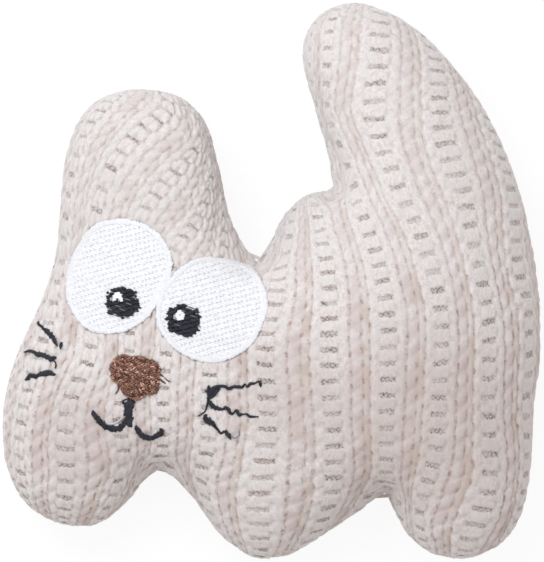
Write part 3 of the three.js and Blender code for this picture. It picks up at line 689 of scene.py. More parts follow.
def knit_material():
    """Cream pile with mottled tufts, and cords tinted with their own colour and painted shade.
    Painted shade darkens the cloth where it lies low, and in broad patches. Thin lines of
    painted shade run down the grooves between the columns and along the ladder's edges, each
    with a dark spot of painted shade once a course. In the ladder gaps threads cross, as a
    zigzag and its mirror image, their dark partly painted shade of the hole behind, and towards
    the tips of ear and tail every mark is fainter."""
    material, tree, shader = new_material("chenille_knit")
    place = node(tree, "ShaderNodeTexCoord").outputs["Object"]
    fabric = node(tree, "ShaderNodeUVMap", uv_map="fabric").outputs["UV"]
    low = node(tree, "ShaderNodeAttribute", attribute_name="low").outputs["Fac"]
    open_share = node(tree, "ShaderNodeAttribute", attribute_name="open").outputs["Fac"]
    closed_share = maths(tree, "SUBTRACT", 1.0, open_share)

    def times(*values):
        return maths(tree, "MULTIPLY", *values)

    def on_vector(operation, vector, other):
        return node(tree, "ShaderNodeVectorMath", vector, other, operation=operation).outputs[0]

    ragged = noise(tree, place, 900.0, 2.0, output="Color")
    pull = on_vector("SUBTRACT", ragged, (0.5, 0.5, 0.5))
    pull = on_vector("MULTIPLY", pull, fray)
    split = node(tree, "ShaderNodeSeparateXYZ", on_vector("ADD", fabric, pull))
    column, course = maths(tree, "FRACT", split.outputs[0]), split.outputs[1]

    tufts = noise(tree, on_vector("MULTIPLY", fabric, tufts_per_repeat), 1.0, 3.0, 0.6)
    fibre = noise(tree, place, 2300.0, 2.0)
    blotches = noise(tree, place, 260.0, 2.0)
    lively = maths(tree, "ADD", times(tufts, 0.6), times(fibre, 0.4))
    colour = mixed(tree, eased(tree, lively, 0.36, 0.61), cream, cream_light)
    patches = noise(tree, place, 430.0, 1.0)
    colour = mixed(tree, eased(tree, patches, 0.42, 0.62, 0.0, 0.55), colour, grey_patch)

    def between(low_edge, high_edge, blur=0.012):
        rise = eased(tree, column, low_edge - blur, low_edge + blur)
        return times(rise, eased(tree, column, high_edge - blur, high_edge + blur, 1.0, 0.0))

    towards_tips = node(tree, "ShaderNodeSeparateXYZ", place).outputs[1]
    below = eased(tree, towards_tips, *faded_tips, 1.0, 0.0)
    # The cords' tint, partly painted shade, is weaker towards the ear and tail tips.
    tint = eased(tree, blotches, 0.40, 0.62, 0.12, 0.9)
    tint = times(tint, eased(tree, below, 0.0, 1.0, 0.5, 1.0))
    first_groove, second_groove, third_groove = (groove["middle"] for groove in groove_lines)
    colour = mixed(tree, times(between(first_groove, second_groove), tint), colour, wide_cord_tint_and_shade)
    colour = mixed(tree, times(between(second_groove, third_groove), tint), colour, narrow_cord_tint_and_shade)
    # Painted shade where the cloth lies low in its relief: grooves, gaps and creases.
    colour = mixed(tree, eased(tree, low, 0.2, 1.0, 0.0, 0.36), colour, groove_shade)
    # Broad patches of painted shade.
    for patch in painted_shade_patches:
        away = node(tree, "ShaderNodeVectorMath", place, patch["middle"], operation="DISTANCE")
        away = away.outputs["Value"]
        share = eased(tree, away, patch["near"], patch["far"], patch["share"], 0.0)
        colour = mixed(tree, share, colour, patch["colour"])
    broken = eased(tree, tufts, 0.38, 0.6, 0.1, 1.0)
    broken = times(broken, eased(tree, below, 0.0, 1.0, 0.75, 1.0))
    line_share = eased(tree, open_share, 0.1, 0.8, 0.15, 0.34)
    edge_share = eased(tree, closed_share, 0.0, 1.0, 0.22, 1.0)
    spot_share = eased(tree, below, 0.0, 1.0, 0.62, 0.86)
    off_ladder = maths(tree, "PINGPONG", column, 0.5)
    # Lines of painted shade, each with a spot of painted shade once a course.
    for groove in groove_lines + ladder_edges:
        away = off_ladder
        if groove["middle"]:
            away = maths(tree, "ABSOLUTE", maths(tree, "SUBTRACT", column, groove["middle"]))
        seen = times(broken, groove["strength"])
        if groove in ladder_edges:
            seen = times(seen, edge_share)
        line = times(eased(tree, away, groove["half"] * 0.5, groove["half"] * 2.2, 1.0, 0.0), seen)
        colour = mixed(tree, times(line, line_share), colour, groove_shade)
        along = maths(tree, "PINGPONG", maths(tree, "ADD", course, groove["phase"]), 0.5)
        wide = eased(tree, away, groove["half"] * 0.6, groove["half"] * 2.8, 1.0, 0.0)
        spot = times(times(eased(tree, along, 0.24, 0.42), wide), seen)
        colour = mixed(tree, times(spot, spot_share), colour, dot_shade)

    # Threads cross the ladder gaps and flecks lie in closed ones; their dark is partly painted shade.
    off_gap = maths(tree, "SUBTRACT", 0.5, maths(tree, "PINGPONG", course, 0.5))
    gap_half = eased(tree, open_share, 0.1, 1.0, 0.11, 0.175)
    past_edge = maths(tree, "SUBTRACT", off_gap, gap_half)
    in_gap = eased(tree, past_edge, -0.035, 0.035, 1.0, 0.0)
    in_gap = times(eased(tree, off_ladder, 0.12, 0.165, 1.0, 0.0), in_gap)
    uneven = times(noise(tree, place, 700.0, 1.0), zigzag_unrest)
    zigzag = maths(tree, "ADD", times(split.outputs[0], zigzags_per_repeat), uneven)
    zigzag = maths(tree, "PINGPONG", zigzag, 0.5)
    crossing = maths(tree, "SUBTRACT", zigzag, times(off_gap, zigzag_slope))
    crossing = maths(tree, "ABSOLUTE", crossing)
    fleck = noise(tree, place, 2200.0, 1.0)
    threads = eased(tree, crossing, 0.05, 0.24, 1.0, 0.0)
    threads = times(threads, eased(tree, fleck, 0.44, 0.54, 0.25, 1.0))
    flecks = times(closed_share, eased(tree, fleck, 0.47, 0.60, 0.0, 0.8))
    mesh = mixed(tree, maths(tree, "MAXIMUM", threads, flecks), mesh_pale, gap_threads_and_shade)
    faint = eased(tree, blotches, 0.36, 0.62, 0.5, 1.0)
    faint = times(faint, eased(tree, below, 0.0, 1.0, 0.78, 0.95))
    colour = mixed(tree, times(in_gap, faint), colour, mesh)

    pile = maths(tree, "ADD", tufts, times(fibre, 0.5))
    finish_surface(
        tree, shader, colour, pile, bump_strength=0.22, bump_distance=0.5 * mm, Roughness=0.95,
        Specular_IOR_Level=0.1, Sheen_Weight=0.35, Sheen_Roughness=0.5, Subsurface_Weight=0.35,
        Subsurface_Radius=(1.0, 0.85, 0.75), Subsurface_Scale=0.9 * mm)
    return material


knit = knit_material()

# %% [markdown]
# ## The two panels
#
# A panel is one sheet of cloth: it runs over the form, folds in along the seam with a small radius
# and ends in its seam allowance. The sheet is found on a fine grid of boxes. Every box that the
# surface passes through gets one point, and every grid edge that it crosses gets a quad round it.
# The points then slide onto the exact surface, and the knit's relief is added along the way out.
# Solidify gives the cloth its thickness.


# %% Find a surface in a grid of values
slot_half = 0.3 * mm
fold_radius = 1.3 * mm
seam_allowance = 4 * mm
cloth_thickness = 1.5 * mm


def folded_distance(points, side):
    """Distance inside the folded sheet, and its slope. It is the rounded meeting of two distances,
    the form's and that of the seam plane: the fold's radius less the root of the sum of the squares
    of how much each falls short of it."""
    inside, outward = inside_form(points, side)
    above = points[:, 2] * side - slot_half
    short_in = np.maximum(fold_radius - inside, 0)
    short_up = np.maximum(fold_radius - above, 0)
    short = np.maximum(np.hypot(short_in, short_up), 1e-9)
    slope = -outward * (short_in / short)[:, None]
    slope[:, 2] += side * short_up / short
    return fold_radius - short, slope, inside, outward


def surface_net(values):
    """Cells and quads of the surface between positive and other values on a box grid."""
    full = values > 0
    count = np.zeros([n - 1 for n in full.shape], np.int8)
    for i, j, k in np.ndindex(2, 2, 2):
        count += full[i : i + count.shape[0], j : j + count.shape[1], k : k + count.shape[2]]
    crossed = (count > 0) & (count < 8)
    number = np.full(count.shape, -1)
    number[crossed] = np.arange(crossed.sum())
    quads = []
    for axis in range(3):
        u, v = (axis + 1) % 3, (axis + 2) % 3
        ahead = np.roll(full, -1, axis)
        edge = full != ahead
        edge[tuple(slice(-1, None) if n == axis else slice(None) for n in range(3))] = False
        for n in (u, v):
            edge[tuple(slice(0, 1) if m == n else slice(None) for m in range(3))] = False
            edge[tuple(slice(-1, None) if m == n else slice(None) for m in range(3))] = False
        at = np.argwhere(edge)
        back_u, back_v = np.eye(3, dtype=int)[u], np.eye(3, dtype=int)[v]
        shifts = [a * back_u + b * back_v for a, b in ((1, 1), (0, 1), (0, 0), (1, 0))]
        ring = np.column_stack([number[tuple((at - shift).T)] for shift in shifts])
        turned = ~full[tuple(at.T)]
        ring[turned] = ring[turned][:, ::-1]
        quads.append(ring)
    return np.argwhere(crossed), np.vstack(quads)


def near_average(points, quads):
    """Each point's mean of its neighbours along the quads' edges."""
    a, b = quads.ravel(), np.roll(quads, -1, axis=1).ravel()
    size = len(points)
    count = np.maximum(np.bincount(a, minlength=size) + np.bincount(b, minlength=size), 1)
    total = [np.bincount(a, c[b], size) + np.bincount(b, c[a], size) for c in points.T]
    return np.column_stack(total) / count[:, None]


def cloth_sheet(side):
    """Points and quads of a panel's outer face: over the form, round the fold, into the seam."""
    room_above, lowest_layer = 2 * mm, -2.37
    layers = int(np.ceil((back_depth_limit + room_above) / grid_step))
    heights = (np.arange(layers) + lowest_layer) * grid_step
    square, growth = half_square(depth_grid, side)
    slope = growth * np.hypot(*slope_grid)
    z = heights[None, None]
    inside = (square[..., None] - z**2) / np.hypot(slope[..., None], 2 * z)
    short_in = np.maximum(fold_radius - inside, 0)
    short_up = np.maximum(fold_radius - (z - slot_half), 0)
    cells, quads = surface_net(fold_radius - np.hypot(short_in, short_up))
    points = (cells + 0.5) * grid_step + [grid_x[0, 0], grid_y[0, 0], heights[0]]
    points[:, 2] *= side
    if side < 0:
        quads = quads[:, ::-1]
    slides, smoothed_slides, smoothing = 6, 4, 0.6
    for slide in range(slides):
        if slide < smoothed_slides:
            points = points + smoothing * (near_average(points, quads) - points)
        for _ in range(2):
            distance, slope, _, _ = folded_distance(points, side)
            points = points - np.clip(distance, -grid_step, grid_step)[:, None] * slope
    _, slope, inside, outward = folded_distance(points, side)
    under = points[:, 2] * side < slot_half + 0.1 * mm
    kept = ~(under & (inside > seam_allowance))[quads].all(1)
    quads = quads[kept]
    used = np.unique(quads)
    renumber = np.full(len(points), -1)
    renumber[used] = np.arange(len(used))
    return points[used], renumber[quads], -slope[used], outward[used]


# %% Shapes of the face, for the cloth to lie flat under them
pupil_size = dict(width=6.3 * mm, height=6.2 * mm)
highlight_width, highlight_height = 2.1 * mm, 1.8 * mm

left_eye_shares = [
    [0.497, 0.1], [0.425, 0.31], [0.23, 0.46], [-0.02, 0.5], [-0.24, 0.44], [-0.4, 0.25],
    [-0.49, 0.02], [-0.48, -0.23], [-0.33, -0.44], [-0.1, -0.5], [0.14, -0.44], [0.34, -0.26],
]
right_eye_shares = [
    [0.497, 0.09], [0.38, 0.39], [0.13, 0.49], [-0.13, 0.5], [-0.33, 0.35], [-0.46, 0.15],
    [-0.49, -0.09], [-0.38, -0.32], [-0.17, -0.47], [0.06, -0.5], [0.31, -0.37], [0.45, -0.14],
]
nose_shares = [
    [0.5, 0.03], [0.5, 0.22], [0.43, 0.34], [0.2, 0.42], [0.05, 0.47], [-0.1, 0.455], [-0.235, 0.5],
    [-0.35, 0.455], [-0.5, 0.29], [-0.49, -0.03], [-0.34, -0.2], [-0.22, -0.39], [-0.12, -0.475],
    [-0.02, -0.5], [0.11, -0.465], [0.245, -0.4], [0.43, -0.36], [0.48, -0.2],
]
round_turns = np.linspace(0, 2 * np.pi, 16, endpoint=False)
round_shares = np.column_stack([np.cos(round_turns), np.sin(round_turns)]) / 2


def shape_outline(middle_shares, shares, width, height, grow=0.0, spacing=0.3 * mm):
    """A closed plan curve from a shape's own shares of its width and height."""
    knots = plan(middle_shares) + np.asarray(shares) * [width + 2 * grow, height + 2 * grow]
    return curve_through(knots, spacing, closed=True)


left_eye = dict(
    middle_shares=(-0.281, 0.007), shares=left_eye_shares, width=19.3 * mm, height=20.6 * mm)
right_eye = dict(
    middle_shares=(-0.11, -0.053), shares=right_eye_shares, width=20.3 * mm, height=18.7 * mm)
left_pupil = dict(middle_shares=(-0.275, -0.04), shares=round_shares, **pupil_size)
right_pupil = dict(middle_shares=(-0.161, -0.0715), shares=round_shares, **pupil_size)
nose_shape = dict(
    middle_shares=(-0.251, -0.1722), shares=nose_shares, width=8.8 * mm, height=8.2 * mm)


def signed_distance(xy, curve):
    """Distance of plan points to a closed curve, positive inside. A point lies inside where a line
    from it to the right crosses the curve an odd number of times."""
    result = np.empty(len(xy))
    block = 20000
    a, b = curve, np.roll(curve, -1, axis=0)
    edge = b - a
    for first in range(0, len(xy), block):
        place = xy[first : first + block, None]
        x, y = place[..., 0], place[..., 1]
        to = place - a[None]
        share = np.clip((to * edge).sum(-1) / (edge**2).sum(-1), 0, 1)
        away = np.linalg.norm(to - share[..., None] * edge, axis=-1).min(1)
        spans = (a[:, 1] > y) != (b[:, 1] > y)
        with np.errstate(divide="ignore", invalid="ignore"):
            meet = a[:, 0] + (y - a[:, 1]) * edge[:, 0] / edge[:, 1]
        odd = (spans & (x < meet)).sum(1) % 2
        result[first : first + block] = np.where(odd, away, -away)
    return result


# %% Creases of the cloth at the two notches below
crease_pixels = [
    [(160, 466), (150, 465), (138, 463), (124, 461.5)],
    [(157, 468.5), (146, 472), (136, 476), (122, 480)],
    [(162, 467), (166, 461), (169, 453)],
    [(387, 490), (395, 489.5), (402, 494), (409, 504)],
    [(386, 488), (379, 486), (372, 486)],
]
crease_depth = 0.42 * mm
crease_width = 0.42 * mm
crease_reach = 7 * mm


def crease_relief(xy):
    """Depth of the creases at plan points: a valley along each line that fades towards its far end."""
    depth = np.zeros(len(xy))
    for pixels in crease_pixels:
        line = curve_through(from_picture(pixels), 0.25 * mm)
        near = np.flatnonzero((np.abs(xy - line.mean(0)) < crease_reach).all(1))
        away = np.linalg.norm(xy[near, None] - line[None], axis=-1)
        fade = 1 - away.argmin(1) / len(line)
        valley = crease_depth * fade * np.exp(-(away.min(1) / crease_width) ** 2)
        depth[near] = np.maximum(depth[near], valley)
    return depth


# %% Make both panels
press_depth = 0.75 * mm
seam_relief = 0.35  # the share of the knit's relief that is left at the seam
back_openness = 0.7
face_box = np.array([[-np.inf, -25 * mm, 3 * mm], [2 * mm, 14 * mm, np.inf]])
unevenness = [(0.10 * mm, 0.9 * mm, 3), (0.05 * mm, 0.5 * mm, 4), (0.18 * mm, 3.2 * mm, 6)]


def panel(name, side, node_name):
    """One panel with its relief. The knit is pressed flat under the stitched face, and where the
    toy rests."""
    points, quads, way_out, outward = cloth_sheet(side)
    columns, courses = fabric_places(points[:, :2], outward, side)
    open_share = openness(points[:, :2]) if side > 0 else np.full(len(points), back_openness)
    relief = knit_height(columns, courses, open_share)
    for depth, size, seed in unevenness:
        relief += depth * wander(points, size, seed)
    if side > 0:
        pressed = np.zeros(len(points))
        near_face = ((points > face_box[0]) & (points < face_box[1])).all(1)
        for shape in (left_eye, right_eye, nose_shape):
            inside = signed_distance(points[near_face, :2], shape_outline(**shape))
            pressed[near_face] = np.maximum(pressed[near_face], smooth_step(inside, -0.1 * mm, 1.0 * mm))
        relief = relief * (1 - pressed) - press_depth * pressed
    height_off_seam = np.abs(points[:, 2]) - slot_half
    relief *= seam_relief + (1 - seam_relief) * smooth_step(height_off_seam, 0.2 * mm, 2.5 * mm)
    if side > 0:
        relief -= crease_relief(points[:, :2]) * smooth_step(height_off_seam, 1 * mm, 3 * mm)
    # How low the cloth lies, for the painted shade in its hollows.
    low = np.clip(-relief / mm, 0, 1)
    points = points + way_out * relief[:, None]
    points[:, 2] = np.maximum(points[:, 2], -seam_height)
    piece = make_piece(name, points, [quads], knit, np.column_stack([columns, courses]),
                       {"low": low, "open": open_share})
    cloth = piece.modifiers.new("cloth thickness", "SOLIDIFY")
    cloth.thickness = cloth_thickness
    cloth.offset = -1
    cloth.use_rim = True
    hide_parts(node_name)


panel("front_cover", 1, "front_panel")
panel("back_cover", -1, "back_panel")

# %% [markdown]
# ## Threads
#
# Embroidery thread is shiny viscose: each stitch catches a line of light along its middle. Real
# strands give that for free, so every stitch is a flattened tube that rises out of the cloth, runs
# straight and dives back in.

# %% Thread materials
def thread_material(name, dark, light, glint, roughness, specular=0.3, glow_through=0.0):
    """Thread whose colour varies from strand to strand, with fine filaments twisted round it.
    Strands whose number is above one turn to the glint colour, a painted highlight."""
    material, tree, shader = new_material(name)
    strand = node(tree, "ShaderNodeAttribute", attribute_name="strand").outputs["Fac"]
    place = node(tree, "ShaderNodeTexCoord").outputs["Object"]
    filament = noise(tree, place, 2600.0, 2.0)
    share = maths(tree, "MULTIPLY", strand, 0.7)
    share = maths(tree, "ADD", share, maths(tree, "MULTIPLY", filament, 0.3))
    colour = mixed(tree, eased(tree, strand, 1.0, 2.0), mixed(tree, share, dark, light), glint)
    finish_surface(
        tree, shader, colour, filament, bump_strength=0.2, bump_distance=0.12 * mm,
        Roughness=roughness, Specular_IOR_Level=specular, Subsurface_Weight=glow_through,
        Subsurface_Radius=(1.0, 1.0, 1.0), Subsurface_Scale=0.4 * mm)
    return material


white_thread = thread_material(
    "white_thread", dark=(0.83, 0.825, 0.87, 1), light=(0.94, 0.94, 0.955, 1),
    glint=(0.4, 0.4, 0.42, 1), roughness=0.5, glow_through=0.3)
black_thread = thread_material(
    "black_thread", dark=(0.007, 0.007, 0.011, 1), light=(0.038, 0.038, 0.050, 1),
    glint=(0.7, 0.7, 0.73, 1), roughness=0.6, specular=0.2)
brown_thread = thread_material(
    "brown_thread", dark=(0.06, 0.016, 0.008, 1), light=(0.48, 0.255, 0.18, 1),
    glint=(0.80, 0.58, 0.48, 1), roughness=0.5)
cream_thread = thread_material(
    "cream_thread", dark=(0.70, 0.64, 0.60, 1), light=(0.82, 0.77, 0.73, 1),
    glint=(0.86, 0.82, 0.78, 1), roughness=0.6)


# %% Stitches as strands
pad_bottom = -press_depth - 0.1 * mm


def strands(starts, ends, width, lift, dip, seed, flat=0.32, tip=0.4, taper=6, value=None):
    """Points, faces and a value for each stitch, random if none is given. Along a stitch, its
    middle line rises from a dip below the cloth to its lift, as one less the fourth power of the
    way from its middle. Around it, the section is an ellipse that narrows to a share at each tip."""
    steps, sides = 8, 6
    count = len(starts)
    along = np.linspace(-1, 1, steps)
    turn = np.linspace(0, 2 * np.pi, sides, endpoint=False)
    way = ends - starts
    way_unit = way / np.maximum(np.linalg.norm(way, axis=1), 1e-9)[:, None]
    sideways = np.column_stack([way_unit[:, 1], -way_unit[:, 0]])
    thick = np.sqrt(1 - (1 - tip**2) * np.abs(along) ** taper)
    middle = (starts + ends)[:, None] / 2 + way[:, None] / 2 * along[None, :, None]
    wide = np.reshape(width, (-1, 1, 1))
    across = np.cos(turn)[None, None] * thick[None, :, None] * wide / 2
    up = np.sin(turn)[None, None] * thick[None, :, None] * wide * flat
    height = np.reshape(lift, (-1, 1, 1)) - dip * (along**4)[None, :, None] + up
    plan_points = middle[:, :, None] + across[..., None] * sideways[:, None, None]
    heights = np.broadcast_to(height, plan_points.shape[:3]).ravel()
    points = front_points(plan_points.reshape(-1, 2), heights)[0]
    one = ring_faces(steps, sides)
    first = (np.arange(count) * steps * sides)[:, None, None]
    quads = (one[None] + first).reshape(-1, 4)
    ring = np.arange(sides)
    caps = np.vstack([ring[::-1], ring + (steps - 1) * sides])
    caps = (caps[None] + first).reshape(-1, sides)
    if value is None:
        value = np.random.default_rng(seed).uniform(0, 1, count)
    return points, [quads[:, ::-1], caps[:, ::-1]], np.repeat(value, steps * sides)


def fill_stitches(curve, angle, pitch, length, seed, holes=(), ragged=0.0, shift=0.37):
    """Starts and ends of rows of stitches that fill a closed curve. Rows lie a pitch apart along
    one direction, each row's stitches start a shift further on, and a stitch is kept as far as it
    lies inside."""
    rng = np.random.default_rng(seed)
    along = np.array([np.cos(angle), np.sin(angle)])
    across = np.array([-along[1], along[0]])
    middle = curve.mean(0)
    reach_along = np.abs((curve - middle) @ along).max() + length
    reach_across = np.abs((curve - middle) @ across).max()
    rows = np.arange(-reach_across, reach_across + pitch, pitch)
    fine_step = 0.1 * mm
    fine = np.arange(-reach_along, reach_along, fine_step)
    starts, ends = [], []
    for number, row in enumerate(rows):
        line = middle + row * across + fine[:, None] * along
        inside = signed_distance(line, curve) > 0
        for hole in holes:
            inside &= signed_distance(line, hole) < 0
        steps = np.flatnonzero(np.diff(np.r_[0, inside, 0]))
        for begin, end in zip(steps[::2], steps[1::2]):
            low, high = fine[begin], fine[end - 1]
            if high - low < pitch / 2:
                continue
            low -= ragged * rng.uniform() ** 2
            high += ragged * rng.uniform() ** 2
            row_shift = shift * number * length
            first = np.floor((low - row_shift) / length) * length + row_shift
            cuts = np.arange(first, high + length, length) + rng.uniform(-0.12, 0.12) * length
            cuts = np.r_[low, cuts[(cuts > low + length / 3) & (cuts < high - length / 3)], high]
            starts.append(middle + row * across + cuts[:-1, None] * along)
            ends.append(middle + row * across + cuts[1:, None] * along)
    return np.vstack(starts), np.vstack(ends)


def ring_stitches(curve, width, pitch, slant, seed):
    """Starts and ends of satin stitches across a ring round a closed curve, a pitch apart."""
    rng = np.random.default_rng(seed)
    length = np.linalg.norm(np.diff(np.vstack([curve, curve[:1]]), axis=0), axis=1).sum()
    count = int(length / pitch)
    at = np.arange(count) * len(curve) // count
    way = np.roll(curve, -1, axis=0) - np.roll(curve, 1, axis=0)
    way = way / np.linalg.norm(way, axis=1)[:, None]
    out = np.column_stack([way[:, 1], -way[:, 0]])
    uneven = 0.11 * wander(curve[at], 0.7 * mm, seed) + rng.uniform(-0.09, 0.13, count)
    half = (width / 2 + uneven * mm)[:, None]
    lean = slant * way[at]
    return curve[at] - (out[at] + lean) * half, curve[at] + (out[at] + lean) * half


def base_pad(curve, rings, top, strand):
    """Points, faces and values of a thin closed pad under stitches: rings from the middle of a plan
    curve out, domed a little, with a flat underside."""
    middle = curve.mean(0)
    out = np.linspace(0, 1, rings + 1)[1:]
    plan_points = middle + (curve - middle)[None] * out[:, None, None]
    count = len(curve)
    tops = np.repeat(top - (top - pad_bottom) * 0.9 * out**8, count)
    upper = front_points(plan_points.reshape(-1, 2), tops)[0]
    lower = front_points(plan_points.reshape(-1, 2), np.full(rings * count, pad_bottom))[0]
    ends = [front_points(middle[None], h)[0] for h in (top, pad_bottom)]
    points = np.vstack([upper, lower, *ends])
    sheet = ring_faces(rings, count)
    around = np.arange(count)
    after = (around + 1) % count
    total = rings * count
    fans = [
        np.column_stack([np.full(count, 2 * total), around, after]),
        np.column_stack([np.full(count, 2 * total + 1), after + total, around + total]),
    ]
    rim = np.column_stack([around, around + total, after + total, after]) + total - count
    faces = [np.vstack([sheet[:, ::-1], sheet + total, rim]), np.vstack(fans)]
    return points, faces, np.full(len(points), strand)


def joined(parts):
    """Several sets of points, face groups and values as one set."""
    points, quads, values, first = [], {}, [], 0
    for part_points, groups, strand in parts:
        for group in groups:
            quads.setdefault(group.shape[1], []).append(group + first)
        points.append(part_points)
        values.append(strand)
        first += len(part_points)
    return np.vstack(points), [np.vstack(q) for q in quads.values()], np.concatenate(values)


def thread_piece(name, parts, material, slot, *nodes):
    """A piece made of stitches that stands for CAD nodes."""
    points, faces, strand = joined(parts)
    piece = make_piece(name, points, faces, material, values={"strand": strand})
    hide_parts(*nodes)


# %% [markdown]
# ## The eyes
#
# Each eye is filled with rows of short stitches that lean down to the right, and edged with a
# raised ring of satin stitches. The right eye was sewn last, so it lies over the left one. The
# pupils are satin too, and their ends are ragged, because each stitch stops where the needle went
# in.

# %% Eye fills and borders
stitch_angle = np.radians(-19)
fill_pitch = 0.42 * mm
fill_length = 1.7 * mm
border_width = 0.95 * mm
border_pitch = 0.27 * mm
fill_lift = 0.06 * mm
border_slant = 0.35


def eye(name, shape, pupil_shape, seed, cut=None):
    """The white fill of an eye on its pad, and its border."""
    inner = shape_outline(**shape, grow=-border_width * 0.45)
    holes = [shape_outline(**pupil_shape, grow=-0.6 * mm)] + ([] if cut is None else [cut])
    starts, ends = fill_stitches(inner, stitch_angle, fill_pitch, fill_length, seed, holes)
    fill = strands(
        starts, ends, fill_pitch * 1.3, fill_lift, dip=0.05 * mm, seed=seed, flat=0.09, tip=0.6)
    pad = base_pad(inner, rings=24, top=fill_lift - 0.06 * mm, strand=0.5)
    thread_piece(f"{name}_stitches", [pad, fill], white_thread, "white_thread", f"{name}_fill")
    line = shape_outline(**shape, grow=-border_width / 2, spacing=0.03 * mm)
    starts, ends = ring_stitches(line, border_width, border_pitch, border_slant, seed + 1)
    if cut is not None:
        kept = signed_distance((starts + ends) / 2, cut) < 0.2 * mm
        starts, ends = starts[kept], ends[kept]
    border = strands(
        starts, ends, border_pitch * 1.9, lift=fill_lift + 0.08 * mm, dip=0.15 * mm,
        seed=seed + 2, flat=0.16)
    thread_piece(f"{name}_edging", [border], white_thread, "white_thread", f"{name}_border")


eye("left_eye", left_eye, left_pupil, 11, cut=shape_outline(**right_eye))
eye("right_eye", right_eye, right_pupil, 21)


# %% Pupils and highlights
pupil_pitch = 0.34 * mm
highlight_stitch = 2.4 * mm


def pupil(name, shape, highlight, seed):
    """A dark disc of pointed stitches with ragged ends, a few of them painted glints, and a small
    white one stitched into it. Its grey edge lies at the lower left: black strands half in the
    glint colour, a painted highlight."""
    rng = np.random.default_rng(seed)
    edge = shape_outline(**shape, grow=-0.25 * mm)
    starts, ends = fill_stitches(
        edge, stitch_angle, pupil_pitch, length=1.4 * mm, seed=seed, ragged=0.8 * mm)
    # A few strands turn partly to the glint colour: painted glints.
    glints = rng.uniform(size=len(starts)) < 0.12
    value = np.where(glints, 1.27, rng.uniform(size=len(starts)))
    width = np.where(glints, 0.22, 0.50) * mm
    lift = fill_lift + np.where(glints, 0.3, 0.22) * mm
    rows = strands(
        starts, ends, width, lift, dip=0.12 * mm, seed=seed, tip=0.12, taper=1.6, value=value)
    pad = base_pad(edge, rings=10, top=fill_lift + 0.1 * mm, strand=0.1)
    spot = shape_outline(**highlight)
    # The grey edge: black strands half in the glint colour, a painted highlight.
    grey = spot + np.array([-0.18, -0.2]) * mm
    starts, ends = fill_stitches(
        grey, stitch_angle + 1.9, pitch=0.36 * mm, length=highlight_stitch, seed=seed + 2)
    half_glint = np.full(len(starts), 1.5)
    shade = strands(
        starts, ends, width=0.42 * mm, lift=fill_lift + 0.30 * mm, dip=0.2 * mm,
        seed=seed, value=half_glint)
    pupil_parts = [pad, rows, shade]
    thread_piece(f"{name}_pupil_stitches", pupil_parts, black_thread, "black_thread", f"{name}_pupil")
    starts, ends = fill_stitches(
        spot, stitch_angle + 0.5, pupil_pitch, highlight_stitch, seed + 1, ragged=0.1 * mm)
    shine = strands(
        starts, ends, width=0.44 * mm, lift=fill_lift + 0.42 * mm, dip=0.25 * mm,
        seed=seed + 1, flat=0.2)
    white_name = f"{name}_highlight"
    thread_piece(f"{white_name}_stitches", [shine], white_thread, "white_thread", white_name)


left_highlight_shares = [
    [-0.5, -0.05], [-0.34, 0.3], [0.0, 0.5], [0.34, 0.42], [0.5, 0.0], [0.5, -0.42], [0.3, -0.5],
    [0.08, -0.12], [-0.16, -0.3], [-0.34, -0.42],
]
left_highlight = dict(middle_shares=(-0.2835, -0.0305), shares=left_highlight_shares,
                      width=highlight_width, height=highlight_height)
right_highlight = dict(middle_shares=(-0.1685, -0.0635), shares=round_shares,
                       width=highlight_width * 0.95, height=highlight_height)
pupil("left", left_pupil, left_highlight, 31)
pupil("right", right_pupil, right_highlight, 41)

# %% [markdown]
# ## Nose, mouth and whiskers
#
# The nose is filled with short brown rows of mixed tones, a few of them painted highlights. The
# mouth and the whiskers are lines of short leaning stitches, a few pale ones painted highlights.
# Their places and widths are read from the picture, a few per line.


# %% Stitched lines
def line_stitches(knots, seed):
    """Starts, ends and widths of leaning stitches along an open line. A knot is a place in the
    picture and the line's width there, in its pixels."""
    rng = np.random.default_rng(seed)
    knots = np.asarray(knots, float)
    line = curve_through(np.column_stack([from_picture(knots[:, :2]), knots[:, 2] * pixel]), 0.2 * mm)
    place, width = line[:, :2], np.maximum(line[:, 2], 0.1 * mm)
    way = np.gradient(place, axis=0)
    way = way / np.linalg.norm(way, axis=1)[:, None]
    side = np.column_stack([way[:, 1], -way[:, 0]])
    across = (width / 2 * rng.uniform(0.78, 1.38, len(line)))[:, None]
    lean = 0.16 * mm + across * rng.uniform(0.2, 0.9, (len(line), 1))
    half = side * across + way * lean
    return place - half, place + half, np.clip(width * 0.7, 0.18 * mm, 0.34 * mm)


def line_strands(lines, seed, value=None):
    """Strands of several stitched lines."""
    sets = [line_stitches(knots, seed + number) for number, knots in enumerate(lines)]
    starts, ends, widths = (np.concatenate(part) for part in zip(*sets))
    value = value if value is None else np.full(len(starts), value)
    return strands(
        starts, ends, widths, lift=0.15 * mm, dip=0.4 * mm, seed=seed, tip=0.25, taper=3, value=value)


# %% Nose
nose_edge = shape_outline(**nose_shape)
starts, ends = fill_stitches(
    nose_edge, angle=np.radians(-27), pitch=0.25 * mm, length=0.5 * mm, seed=51, ragged=0.2 * mm)
nose_random = np.random.default_rng(52)
swing = nose_random.normal(0, 0.13 * mm, starts.shape)
nose_value = nose_random.uniform(size=len(starts))
